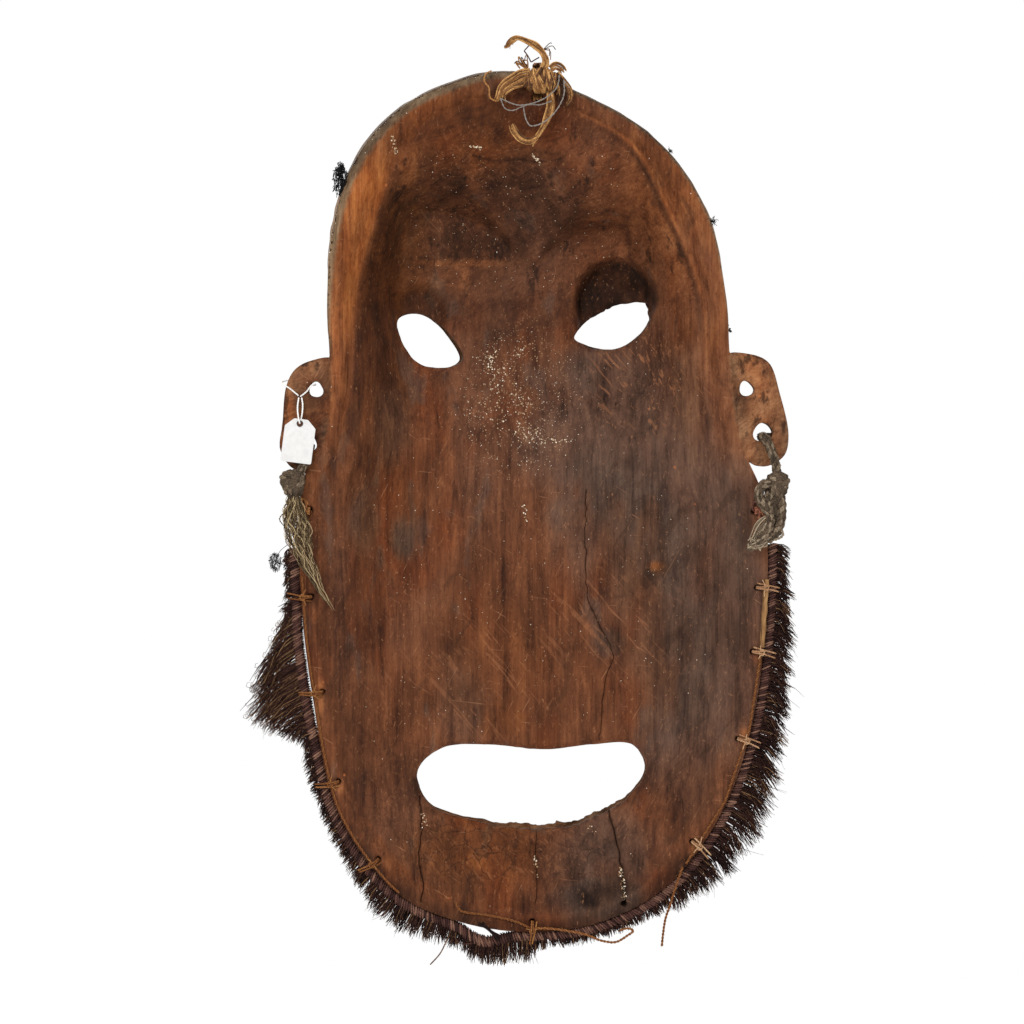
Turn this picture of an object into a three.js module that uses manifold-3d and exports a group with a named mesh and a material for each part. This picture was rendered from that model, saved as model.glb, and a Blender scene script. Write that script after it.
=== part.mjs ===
// A tall carved wooden mask: one hollowed log with two pierced ear lugs, a fibre fringe lashed
// round the lower rim, ear ropes, a bark-strip hanger at the crown and a paper tag on one ear.
//
// Millimetres. +Z up the face, +Y out of the hollow back, -Y out of the face.
// The origin is the hanging point, on the wall plane behind the crown.

import * as THREE from 'three';
import { mergeVertices } from 'three/addons/utils/BufferGeometryUtils.js';
import Module from 'manifold-3d';

const wasm = await Module();
wasm.setup();

// ---------- Driving dimensions ----------

// Widest outline of the wood, as [x, z] points from the crown down the +X side and back up.
const OUTLINE = [
  [18, 6], [63, -2], [109, -26], [142, -66], [159, -118], [164, -183], [162, -226], [166, -285],
  [184, -322], [186, -401], [176, -494], [155, -588], [108, -652], [54, -676], [0, -683],
  [-56, -675], [-110, -645], [-153, -586], [-178, -511], [-189, -400], [-186, -336], [-168, -290],
  [-158, -222], [-155, -175], [-139, -106], [-100, -50], [-47, -16],
];
const SPOKES = 76;
const CENTRE = { x: 0, z: -330 };

// Profiles down the height, as [z, value] stations.
const RIM_Y = [[10, -3], [-70, 0], [-200, 0], [-310, -8], [-700, -8]];
const SIDE_DEPTH = [[10, 30], [-200, 34], [-330, 22], [-700, 16]];
const CREST_DEPTH = [[10, 46], [-90, 92], [-170, 104], [-225, 88], [-320, 72], [-450, 63],
  [-560, 66], [-630, 56], [-690, 32]];
const HOLLOW_DEPTH = [[10, 36], [-80, 62], [-150, 72], [-220, 56], [-300, 38], [-430, 31],
  [-560, 33], [-640, 27], [-690, 20]];
const WALL_RUN = [[10, 70], [-200, 76], [-330, 84], [-700, 84]];
const BEVEL_WIDTH = [[10, 20], [-180, 24], [-290, 10], [-700, 10]];
const BEVEL_DEPTH = [[10, 12], [-180, 12], [-290, 4], [-700, 3]];
const LAND_WIDTH = [[10, 7], [-260, 7], [-330, 9], [-700, 9]];

const NOSE = { top: -215, tip: -405, base: -440, height: 34, halfWidth: 24 };
const BROW = { z: -160, height: 12, halfWidth: 110, halfHeight: 22 };

const LEFT_EYE = [[108, -189], [93, -184], [76, -192], [63, -205], [55, -222], [68, -229],
  [90, -226], [103, -211]];
const RIGHT_EYE = [[-36, -205], [-50, -188], [-72, -177], [-95, -176], [-97, -191], [-85, -206],
  [-66, -214], [-48, -211]];
const MOUTH = [[92, -553], [72, -534], [35, -531], [-10, -535], [-50, -531], [-82, -533], [-93, -552],
  [-75, -577], [-40, -595], [0, -600], [45, -593], [82, -580]];

const EAR_BACK = -8;
const EAR_THICKNESS = 14;
const LEFT_EAR = [[158, -224], [178, -225], [190, -232], [197, -246], [200, -276], [202, -294],
  [193, -309], [184, -310], [178, -303], [160, -300]];
const RIGHT_EAR = [[-154, -221], [-174, -219], [-190, -226], [-199, -251], [-206, -284],
  [-203, -300], [-192, -308], [-181, -309], [-170, -303], [-160, -300]];
const EAR_HOLES = [
  { x: 173, z: -248, radius: 6 },
  { x: 178, z: -290, radius: 6.5 },
  { x: -172, z: -247, radius: 6 },
  { x: -185, z: -282, radius: 7.5 },
];

const GAP = 0.4;
const TIE_RADIUS = 0.9;
const RIM_CORD_RADIUS = 1.5;
const ROPE_RADIUS = 3.5;
const HEADER = { offset: 7.8, halfWidth: 5.2, halfDepth: 4.5, drop: 7 };

// Where the lashings hold the rim cord, near the rim, as [x, z].
const LASHINGS = [[186, -414], [178, -491], [165, -564], [127, -627], [0, -682], [-189, -407],
  [-187, -459], [-176, -531], [-136, -616]];
const BARK_TIES = { left: [186, -344], right: [-187, -344] };

const COLOURS = {
  wood: 0x5a3420, bark: 0xa87f4a, fringe: 0x2a1c1f, cord: 0x8a6235, rope: 0x6b5f4c, cane: 0xa9814c,
  cotton: 0xd9d6cf, card: 0xe9e7e2, wire: 0x6d6a66, fluff: 0x17161a,
};

// ---------- Small helpers ----------

const clamp01 = (value) => Math.min(1, Math.max(0, value));

function smoothstep(from, to, value) {
  const t = clamp01((value - from) / (to - from));
  return t * t * (3 - 2 * t);
}

// Smooth value of a profile given as [z, value] stations from top to bottom.
function profile(stations, z) {
  if (z >= stations[0][0]) return stations[0][1];
  for (let i = 1; i < stations.length; i += 1) {
    const [zUpper, upper] = stations[i - 1];
    const [zLower, lower] = stations[i];
    if (z >= zLower) return upper + (lower - upper) * smoothstep(zUpper, zLower, z);
  }
  return stations[stations.length - 1][1];
}

const outlineCurve = new THREE.CatmullRomCurve3(
  OUTLINE.map(([x, z]) => new THREE.Vector3(x, 0, z)),
  true,
);
outlineCurve.arcLengthDivisions = 800;

// A point near the outline, moved out from the wood by `offset` in the XZ plane.
function rimPoint(u, offset, y = 0) {
  const wrapped = ((u % 1) + 1) % 1;
  const point = outlineCurve.getPointAt(wrapped);
  const tangent = outlineCurve.getTangentAt(wrapped);
  return new THREE.Vector3(point.x - tangent.z * offset, y, point.z + tangent.x * offset);
}

// The fraction of the way round the outline that lies nearest to [x, z].
function nearestU([x, z]) {
  const samples = 2000;
  let best = 0;
  let bestDistance = Infinity;
  for (let i = 0; i < samples; i += 1) {
    const point = rimPoint(i / samples, 0);
    const distance = Math.hypot(point.x - x, point.z - z);
    if (distance < bestDistance) {
      bestDistance = distance;
      best = i / samples;
    }
  }
  return best;
}

const rimY = (z) => profile(RIM_Y, z);

// ---------- Geometry builders ----------

function geometryFrom(positions, indices) {
  const geometry = new THREE.BufferGeometry();
  geometry.setAttribute('position', new THREE.Float32BufferAttribute(positions, 3));
  geometry.setIndex(indices);
  return facedOutwards(geometry);
}

// Flips every triangle when the enclosed volume comes out negative.
function facedOutwards(geometry) {
  const position = geometry.getAttribute('position');
  const index = geometry.getIndex().array;
  const a = new THREE.Vector3();
  const b = new THREE.Vector3();
  const c = new THREE.Vector3();
  let volume = 0;
  for (let i = 0; i < index.length; i += 3) {
    a.fromBufferAttribute(position, index[i]);
    b.fromBufferAttribute(position, index[i + 1]);
    c.fromBufferAttribute(position, index[i + 2]);
    volume += a.dot(b.cross(c));
  }
  if (volume < 0) {
    for (let i = 0; i < index.length; i += 3) [index[i], index[i + 1]] = [index[i + 1], index[i]];
  }
  geometry.computeVertexNormals();
  return geometry;
}

// A closed body through equal rings of points, with a fan to a point at each end.
function loft(rings, startPoint = null, endPoint = null) {
  const count = rings[0].length;
  const middle = (ring) => ring
    .reduce((sum, p) => sum.add(p), new THREE.Vector3())
    .divideScalar(count);
  const points = [...rings.flat(), startPoint ?? middle(rings[0]), endPoint ?? middle(rings.at(-1))];
  const start = rings.length * count;
  const indices = [];
  for (let i = 0; i < count; i += 1) {
    const next = (i + 1) % count;
    for (let r = 0; r + 1 < rings.length; r += 1) {
      const low = r * count;
      const high = low + count;
      indices.push(low + i, low + next, high + next, low + i, high + next, high + i);
    }
    const last = (rings.length - 1) * count;
    indices.push(start, next, i, start + 1, last + i, last + next);
  }
  return geometryFrom(points.flatMap((p) => [p.x, p.y, p.z]), indices);
}

// A tube of constant section along points, as an extrusion of a small polygon.
function tube(points, radius, { sides = 8, steps = null, flat = 1 } = {}) {
  const path = new THREE.CatmullRomCurve3(points);
  const section = new THREE.Shape();
  for (let i = 0; i < sides; i += 1) {
    const angle = ((i + 0.5) / sides) * Math.PI * 2;
    const x = Math.cos(angle) * radius;
    const y = Math.sin(angle) * radius * flat;
    if (i === 0) section.moveTo(x, y);
    else section.lineTo(x, y);
  }
  section.closePath();
  const count = steps ?? Math.max(3, Math.round(path.getLength() / (radius * 5)));
  return new THREE.ExtrudeGeometry(section, { steps: count, bevelEnabled: false, extrudePath: path });
}

// A flat closed outline in XZ, extruded from its back face towards -Y.
function plate(outline, yBack, thickness, smoothPoints = 0, hole = null) {
  const shape = new THREE.Shape();
  if (smoothPoints) {
    const curve = new THREE.CatmullRomCurve3(
      outline.map(([x, z]) => new THREE.Vector3(x, z, 0)),
      true,
    );
    curve.getSpacedPoints(smoothPoints).slice(0, -1).forEach((p, i) => {
      if (i === 0) shape.moveTo(p.x, p.y);
      else shape.lineTo(p.x, p.y);
    });
  } else {
    outline.forEach(([x, z], i) => (i === 0 ? shape.moveTo(x, z) : shape.lineTo(x, z)));
  }
  shape.closePath();
  if (hole) shape.holes.push(new THREE.Path().absarc(hole.x, hole.z, hole.radius, 0, Math.PI * 2));
  const geometry = new THREE.ExtrudeGeometry(shape, {
    depth: thickness,
    bevelEnabled: false,
    curveSegments: 12,
  });
  geometry.rotateX(Math.PI / 2);
  geometry.translate(0, yBack, 0);
  return geometry;
}

// A tapered bundle along points; each station has a half width across and a half depth in Y.
function bundle(points, halfWidths, halfDepths, sides = 10) {
  const path = new THREE.CatmullRomCurve3(points);
  const rings = halfWidths.map((halfWidth, i) => {
    const t = i / (halfWidths.length - 1);
    const centre = path.getPoint(t);
    const tangent = path.getTangent(t);
    const across = new THREE.Vector3(-tangent.z, 0, tangent.x).normalize();
    return Array.from({ length: sides }, (_, k) => {
      const angle = (k / sides) * Math.PI * 2;
      return centre.clone()
        .addScaledVector(across, Math.cos(angle) * halfWidth)
        .add(new THREE.Vector3(0, Math.sin(angle) * halfDepths[i], 0));
    });
  });
  return loft(rings);
}

// A flat strip along points, its width kept as near as possible to one direction.
function ribbon(points, halfWidth, halfThickness, widthDirection, steps = 16) {
  const path = new THREE.CatmullRomCurve3(points);
  const rings = Array.from({ length: steps + 1 }, (_, i) => {
    const centre = path.getPoint(i / steps);
    const tangent = path.getTangent(i / steps);
    const across = widthDirection.clone()
      .addScaledVector(tangent, -widthDirection.dot(tangent))
      .normalize();
    const normal = new THREE.Vector3().crossVectors(tangent, across);
    return [[1, 1], [-1, 1], [-1, -1], [1, -1]].map(([w, n]) => centre.clone()
      .addScaledVector(across, w * halfWidth)
      .addScaledVector(normal, n * halfThickness));
  });
  return loft(rings);
}

// A knot or tuft: a sphere drawn out to its own three half sizes.
function lump([x, y, z], [halfX, halfY, halfZ], columns = 12, rows = 8) {
  const geometry = new THREE.SphereGeometry(1, columns, rows);
  geometry.scale(halfX, halfY, halfZ);
  geometry.translate(x, y, z);
  return geometry;
}

// ---------- Joining and cutting ----------

function solid(geometry) {
  const bare = geometry.clone();
  bare.deleteAttribute('normal');
  bare.deleteAttribute('uv');
  const merged = mergeVertices(bare, 1e-4);
  return new wasm.Manifold(new wasm.Mesh({
    numProp: 3,
    vertProperties: Float32Array.from(merged.getAttribute('position').array),
    triVerts: Uint32Array.from(merged.getIndex().array),
  }));
}

function geometryOf(manifold) {
  const { vertProperties, triVerts } = manifold.getMesh();
  return geometryFrom(Array.from(vertProperties), Array.from(triVerts));
}

// A straight round cutter between two points.
function drill(from, to, radius, sides = 10) {
  const direction = to.clone().sub(from);
  const geometry = new THREE.CylinderGeometry(radius, radius, direction.length(), sides);
  const up = new THREE.Vector3(0, 1, 0);
  geometry.applyQuaternion(new THREE.Quaternion().setFromUnitVectors(up, direction.clone().normalize()));
  geometry.translate(...from.clone().add(to).multiplyScalar(0.5).toArray());
  return geometry;
}

// ---------- The carved log ----------

// How far the worn back edge stands inside the widest outline: most on the upper +X side.
function backInset(x, z) {
  const upper = smoothstep(-300, -60, z);
  const side = smoothstep(-70, 70, x);
  return 1.5 + upper * (1.5 + 6 * side);
}

function faceY(x, z, t) {
  const side = profile(SIDE_DEPTH, z) - rimY(z);
  const crest = profile(CREST_DEPTH, z);
  const dome = Math.pow(Math.max(0, 1 - Math.pow(t, 2.6)), 0.75);
  const down = (NOSE.top - z) / (NOSE.top - NOSE.tip);
  const noseLength = clamp01(down) * smoothstep(NOSE.base, NOSE.tip, z);
  const noseWidth = NOSE.halfWidth * (0.5 + 0.5 * clamp01(down));
  const nose = NOSE.height * noseLength * Math.exp(-((x / noseWidth) ** 2));
  const browSide = Math.exp(-((x / BROW.halfWidth) ** 4));
  const brow = BROW.height * browSide * Math.exp(-(((z - BROW.z) / BROW.halfHeight) ** 2));
  return -(side + (crest - side) * dome + nose + brow * dome);
}

// How far inside the widest outline the land and the bevel end.
const landEnd = (x, z) => backInset(x, z) + profile(LAND_WIDTH, z);
const bevelEnd = (x, z) => landEnd(x, z) + profile(BEVEL_WIDTH, z);

// The hollow deepens from the foot of the bevel to its full depth at the end of the wall's run.
function hollowY(x, z, inset) {
  const rim = profile(BEVEL_DEPTH, z) - rimY(z);
  const bowl = smoothstep(bevelEnd(x, z), profile(WALL_RUN, z), inset);
  return -(rim + (profile(HOLLOW_DEPTH, z) - rim) * bowl);
}

function logBody() {
  const spokes = Array.from({ length: SPOKES }, (_, i) => i / SPOKES);
  const scaled = (u, t) => {
    const edge = rimPoint(u, 0);
    return [CENTRE.x + (edge.x - CENTRE.x) * t, CENTRE.z + (edge.z - CENTRE.z) * t];
  };
  const faceRing = (t) => spokes.map((u) => {
    const [x, z] = scaled(u, t);
    return new THREE.Vector3(x, faceY(x, z, t), z);
  });
  const edgeRing = (inset, drop) => spokes.map((u) => {
    const edge = rimPoint(u, 0);
    const point = rimPoint(u, -inset(edge.x, edge.z));
    return point.setY(rimY(edge.z) - drop(edge.z));
  });
  const wallRing = (inset) => spokes.map((u) => {
    const point = rimPoint(u, -inset);
    return point.setY(hollowY(point.x, point.z, inset));
  });
  const deepest = 84;
  const floorRing = (share) => spokes.map((u) => {
    const point = rimPoint(u, -deepest);
    point.x += (CENTRE.x - point.x) * share;
    point.z += (CENTRE.z - point.z) * share;
    return point.setY(hollowY(point.x, point.z, deepest));
  });
  const rings = [
    ...[0.2, 0.38, 0.55, 0.7, 0.83, 0.93].map(faceRing),
    edgeRing(() => 0, (z) => profile(SIDE_DEPTH, z)),
    edgeRing(() => 0, () => 9),
    edgeRing(backInset, () => 0),
    edgeRing(landEnd, () => 0),
    edgeRing(bevelEnd, (z) => profile(BEVEL_DEPTH, z)),
    ...[50, 66].map(wallRing),
    ...[0, 0.35, 0.7].map(floorRing),
  ];
  const front = new THREE.Vector3(CENTRE.x, faceY(CENTRE.x, CENTRE.z, 0), CENTRE.z);
  const back = new THREE.Vector3(CENTRE.x, hollowY(CENTRE.x, CENTRE.z, deepest), CENTRE.z);
  return loft(rings, front, back);
}

// The slanted hole that a rim tie passes through, from the back land out to the side.
const TIE_HOLE = { inset: 8.5, drop: 12, radius: 2.2 };

function tieHole(place) {
  const u = nearestU(place);
  const y = rimY(place[1]);
  const slope = TIE_HOLE.drop / TIE_HOLE.inset;
  const overshoot = 3;
  return drill(
    rimPoint(u, -TIE_HOLE.inset - overshoot, y + overshoot * slope),
    rimPoint(u, overshoot, y - TIE_HOLE.drop - overshoot * slope),
    TIE_HOLE.radius,
    8,
  );
}

const CROWN_HOLE = { x: -4, back: [6, -26], side: [-30, 12], radius: 4.2 };

function maskBody() {
  let body = solid(logBody());
  for (const ear of [LEFT_EAR, RIGHT_EAR]) body = body.add(solid(plate(ear, EAR_BACK, EAR_THICKNESS)));
  const through = 200;
  const cutters = [
    plate(LEFT_EYE, 20, through, 18),
    plate(RIGHT_EYE, 20, through, 18),
    plate(MOUTH, 20, through, 26),
    ...EAR_HOLES.map(({ x, z, radius }) => drill(
      new THREE.Vector3(x, 5, z),
      new THREE.Vector3(x, EAR_BACK - EAR_THICKNESS - 5, z),
      radius,
    )),
    ...[...LASHINGS, BARK_TIES.left, BARK_TIES.right].map(tieHole),
    drill(
      new THREE.Vector3(CROWN_HOLE.x, ...CROWN_HOLE.back),
      new THREE.Vector3(CROWN_HOLE.x, ...CROWN_HOLE.side),
      CROWN_HOLE.radius,
      8,
    ),
  ];
  for (const cutter of cutters) body = body.subtract(solid(cutter));
  return geometryOf(body);
}

// ---------- Lashings and rim cords ----------

// A tie through its slanted hole, out of the side, and back over the rim cord.
function edgeTie(place, radius, cordHeight) {
  const u = nearestU(place);
  const y = rimY(place[1]);
  const outside = radius + GAP + 0.2;
  const over = y + cordHeight + radius + GAP;
  const at = (offset, height) => rimPoint(u, offset, height);
  return tube([
    at(-4.6, over),
    at(-7, over - 0.6),
    at(-8.6, y + 0.6),
    at(-7.4, y - 1.6),
    at(-4, y - 6.4),
    at(-0.6, y - 11.2),
    at(outside, y - 12.2),
    at(outside + 0.3, y - 9),
    at(outside + 0.3, y + 0.6),
    at(outside - 0.6, over - 0.5),
    at(-1.4, over),
    at(-2.6, over),
  ], radius, { sides: 6, steps: 18 });
}

// A cord on the back of the rim between two places, `inset` inside the edge.
function rimCord(from, to, inset, { radius = RIM_CORD_RADIUS, lift = 0.7, steps = null } = {}) {
  const uFrom = nearestU(from);
  const uTo = nearestU(to);
  const count = 14;
  const points = Array.from({ length: count }, (_, i) => {
    const u = uFrom + (uTo - uFrom) * (i / (count - 1));
    const point = rimPoint(u, -inset);
    return point.setY(rimY(point.z) + lift + radius);
  });
  return tube(points, radius, { sides: 6, steps: steps ?? 26 });
}

// ---------- The fringe ----------

const HEADER_START = [190, -375];
const HEADER_END = [-190, -372];
const uHeaderStart = nearestU(HEADER_START);
const uHeaderEnd = nearestU(HEADER_END);
const SAG = { at: nearestU([34, -681]), width: 0.026, depth: 8 };

// The header stands just outside the rim, and sags away from it under the chin.
function headerOffset(u) {
  return HEADER.offset + SAG.depth * Math.exp(-(((u - SAG.at) / SAG.width) ** 2));
}

const headerY = (z) => rimY(z) - HEADER.drop;

function headerStretch(uFrom, uTo, stations) {
  const rings = Array.from({ length: stations }, (_, i) => {
    const u = uFrom + (uTo - uFrom) * (i / (stations - 1));
    const offset = headerOffset(u);
    return Array.from({ length: 8 }, (__, k) => {
      const angle = ((k + 0.5) / 8) * Math.PI * 2;
      const point = rimPoint(u, offset + Math.cos(angle) * HEADER.halfWidth);
      return point.setY(headerY(point.z) + Math.sin(angle) * HEADER.halfDepth);
    });
  });
  return loft(rings);
}

// How far the fibres reach beyond the header, as [x, z, reach] stations round the rim.
const REACH = [
  [190, -375, 8], [186, -405, 12], [185, -428, 30], [181, -452, 46], [178, -478, 50],
  [174, -502, 26], [170, -525, 10], [158, -575, 9], [140, -612, 9], [108, -652, 12],
  [72, -671, 20], [34, -681, 20], [0, -683, 16], [-40, -679, 11], [-76, -668, 12],
  [-110, -645, 20], [-135, -615, 30], [-153, -586, 32], [-168, -545, 28], [-178, -511, 24],
  [-186, -460, 22], [-189, -410, 18], [-190, -372, 12],
].map(([x, z, reach]) => ({ u: nearestU([x, z]), reach }));

function reachAt(u) {
  for (let i = 1; i < REACH.length; i += 1) {
    const before = REACH[i - 1];
    const after = REACH[i];
    if (u <= after.u) {
      return before.reach + (after.reach - before.reach) * smoothstep(before.u, after.u, u);
    }
  }
  return REACH.at(-1).reach;
}

// Fibres run outwards and lean down the face; the tuft is a flat wedge from header to tips.
function fringeTuft(uFrom, uTo, stations) {
  const rings = Array.from({ length: stations }, (_, i) => {
    const u = uFrom + (uTo - uFrom) * (i / (stations - 1));
    const root = rimPoint(u, headerOffset(u) + HEADER.halfWidth + GAP + 0.2);
    const outward = rimPoint(u, 1).sub(rimPoint(u, 0));
    const lean = 0.75 * (1 - Math.abs(outward.z));
    const direction = outward.add(new THREE.Vector3(0, 0, -lean)).normalize();
    const tip = root.clone().addScaledVector(direction, reachAt(u));
    const y = headerY(root.z);
    return [
      root.clone().setY(y + 3.2), root.clone().setY(y - 3.2),
      tip.clone().setY(y - 4.6), tip.clone().setY(y + 4.6),
    ];
  });
  return loft(rings);
}

const FRINGE_PARTS = [
  ['left_upper', [190, -375], [184, -424]],
  ['left_flare', [184, -424], [172, -512]],
  ['left_lower', [172, -512], [138, -616]],
  ['bottom_left', [138, -616], [66, -673]],
  ['bottom', [66, -673], [-24, -681]],
  ['bottom_right', [-24, -681], [-104, -650]],
  ['right_lower', [-104, -650], [-152, -590]],
  ['right_middle', [-152, -590], [-180, -500]],
  ['right_upper', [-180, -500], [-190, -372]],
];

// ---------- Assembly ----------

const mask = new THREE.Group();
const v = (x, y, z) => new THREE.Vector3(x, y, z);

function addPart(name, geometry, colour, roughness = 0.8) {
  const material = new THREE.MeshStandardMaterial({ color: colour, roughness, metalness: 0 });
  const mesh = new THREE.Mesh(geometry, material);
  mesh.name = name;
  mask.add(mesh);
}

function addFringe() {
  const slit = 0.0004;
  const stretches = [
    ['fringe_header_left', uHeaderStart, nearestU([108, -652]), 16],
    ['fringe_header_bottom', nearestU([108, -652]), nearestU([-104, -650]), 14],
    ['fringe_header_right', nearestU([-104, -650]), uHeaderEnd, 16],
  ];
  for (const [name, uFrom, uTo, stations] of stretches) {
    addPart(name, headerStretch(uFrom + slit, uTo - slit, stations), COLOURS.fringe, 0.9);
  }
  for (const [name, from, to] of FRINGE_PARTS) {
    const uFrom = nearestU(from) + 2 * slit;
    const uTo = nearestU(to) - 2 * slit;
    const stations = Math.max(6, Math.round((uTo - uFrom) * 110));
    addPart(`fringe_${name}`, fringeTuft(uFrom, uTo, stations), COLOURS.fringe, 0.9);
  }
}

function addRimCords() {
  const cordTop = 0.7 + 2 * RIM_CORD_RADIUS;
  LASHINGS.forEach((place, i) => {
    addPart(`lashing_${i + 1}`, edgeTie(place, TIE_RADIUS, cordTop), COLOURS.cord);
  });
  addPart('bark_tie_left', edgeTie(BARK_TIES.left, 1.3, 1), COLOURS.bark);
  addPart('bark_tie_right', edgeTie(BARK_TIES.right, 1.3, 1), COLOURS.bark);
  addPart('rim_cord_left', rimCord([186, -397], [108, -652], 2.6), COLOURS.cord);
  const behind = (x, z) => v(x, rimY(z) + 0.7 + RIM_CORD_RADIUS, z);
  addPart('rim_cord_bottom', tube([
    behind(62, -658), behind(58, -665), behind(36, -669), behind(14, -674), behind(2, -679.4),
  ], RIM_CORD_RADIUS, { sides: 6, steps: 14 }), COLOURS.cord);
  addPart('rim_cord_bottom_tail', tube([
    behind(-3, -679.6), behind(-14, -680), behind(-29, -682), behind(-43, -685), behind(-56, -690),
    behind(-67, -691), behind(-76, -686), behind(-81, -682), behind(-76, -680), behind(-70, -682),
  ], RIM_CORD_RADIUS, { sides: 8, steps: 26 }), COLOURS.cord);
  addPart('cane_strip_right', rimCord([-188, -400], [-187.5, -455], 2.6, { steps: 8 }), COLOURS.cane);
  addPart('rim_cord_right', rimCord([-187, -461], [-124, -629], 2.6), COLOURS.cord);
  addPart('rim_cord_right_tail', tube([
    behind(-120.5, -631), behind(-117, -641), behind(-114, -650), behind(-111, -660),
    behind(-107, -672), behind(-105, -684), behind(-104, -694),
  ], RIM_CORD_RADIUS, { sides: 8, steps: 18 }), COLOURS.cord);
}

// An ear rope: a stopper in front of the ear, the rope through the hole, and its knot below.
function addEarRope(side, hole, lie, knot, tail) {
  const front = EAR_BACK - EAR_THICKNESS - GAP;
  const stopper = [hole.radius + 1.4, 5, hole.radius + 1.4];
  addPart(`${side}_ear_rope_stopper`, lump([hole.x, front - 5, hole.z], stopper), COLOURS.rope, 0.95);
  const behind = EAR_BACK + 0.6 + ROPE_RADIUS;
  addPart(`${side}_ear_rope`, tube([
    v(hole.x, front + 0.4, hole.z),
    v(hole.x, -15, hole.z),
    v(hole.x, -9, hole.z - 0.2),
    v(hole.x + lie[0][0] * 0.2, behind - 1, hole.z - 2.2),
    ...lie.map(([x, z]) => v(hole.x + x, behind, hole.z + z)),
  ], ROPE_RADIUS, { sides: 8, steps: 22 }), COLOURS.rope, 0.95);
  addPart(`${side}_ear_rope_knot`, lump(knot.at, knot.half), COLOURS.rope, 0.95);
  addPart(`${side}_ear_rope_tail`, bundle(tail.points, tail.halfWidths, tail.halfDepths), COLOURS.rope, 0.95);
}

function addEarRopes() {
  addEarRope(
    'left',
    EAR_HOLES[1],
    [[1.5, -6], [4, -14], [6.5, -22], [9, -27]],
    { at: [190.5, 1.6, -328], half: [10, 8.5, 10.5] },
    {
      points: [v(188.5, 1, -339), v(186, 0.6, -360), v(183, 1, -385), v(174, 1, -410), v(162, 1, -433)],
      halfWidths: [6, 10, 12, 9, 5, 2.6, 1.6],
      halfDepths: [4, 4.5, 4.5, 4, 3, 2.4, 1.6],
    },
  );
  addEarRope(
    'right',
    EAR_HOLES[3],
    [[-2.5, -6], [-6, -14], [-9, -22], [-10.5, -29]],
    { at: [-197, 1.2, -323.5], half: [9, 8.2, 11] },
    {
      points: [v(-195, 1.4, -335.5), v(-195, 1.4, -352), v(-187, 1.4, -364), v(-177, 1.6, -375)],
      halfWidths: [7, 9.5, 9, 8, 9, 7.5, 3],
      halfDepths: [4, 4.5, 4.5, 4.5, 4.5, 4, 2.5],
    },
  );
}

function addTag() {
  const cinch = { x: 185.5, z: -253.5 };
  const radius = 0.6;
  const back = EAR_BACK + radius + GAP;
  const front = EAR_BACK - EAR_THICKNESS - radius - GAP;
  const outer = 198.6;
  addPart('tag_string_ring', tube([
    v(cinch.x - 1.2, back + 0.6, cinch.z + 2.2),
    v(178, back, -247.5),
    v(174, back - 0.6, -244.6),
    v(173, -12, -244.2),
    v(173, -18, -244.2),
    v(174.6, front, -244),
    v(182, front - 0.2, -242.6),
    v(outer - 3, front, -240.5),
    v(outer + 1.6, front + 2.5, -239.5),
    v(outer + 1.9, -15, -239.2),
    v(outer + 1.6, back - 2.5, -240),
    v(outer - 3.5, back + 0.3, -242.5),
    v(190, back + 0.6, -248),
    v(cinch.x + 1.2, back + 0.8, cinch.z + 2.4),
  ], radius, { sides: 6, steps: 44 }), COLOURS.cotton);
  addPart('tag_string', tube([
    v(cinch.x - 1.2, back + 0.8, cinch.z - 0.9),
    v(cinch.x - 2, -4.4, cinch.z - 7),
    v(cinch.x - 1.6, -1.8, cinch.z - 14),
    v(cinch.x - 0.6, -0.9, cinch.z - 19.2),
    v(cinch.x, 0.9, cinch.z - 21.6),
    v(cinch.x + 0.6, 2.9, cinch.z - 19.6),
    v(cinch.x + 1.4, 2.6, cinch.z - 15),
    v(cinch.x + 2, -2, cinch.z - 8.5),
    v(cinch.x + 1.2, back + 0.8, cinch.z - 0.9),
  ], radius, { sides: 6, steps: 34 }), COLOURS.cotton);
  const eyelet = { x: 0.6, z: 13.8, radius: 2 };
  const card = plate(
    [[-13, -17.5], [13, -17.5], [13, 13], [8, 17.5], [-8, 17.5], [-13, 13]],
    0.3,
    0.6,
    0,
    eyelet,
  );
  card.rotateY(-0.13);
  card.translate(cinch.x + 1.2, 1, cinch.z - 35.4);
  addPart('tag_card', card, COLOURS.card, 0.6);
}

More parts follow.
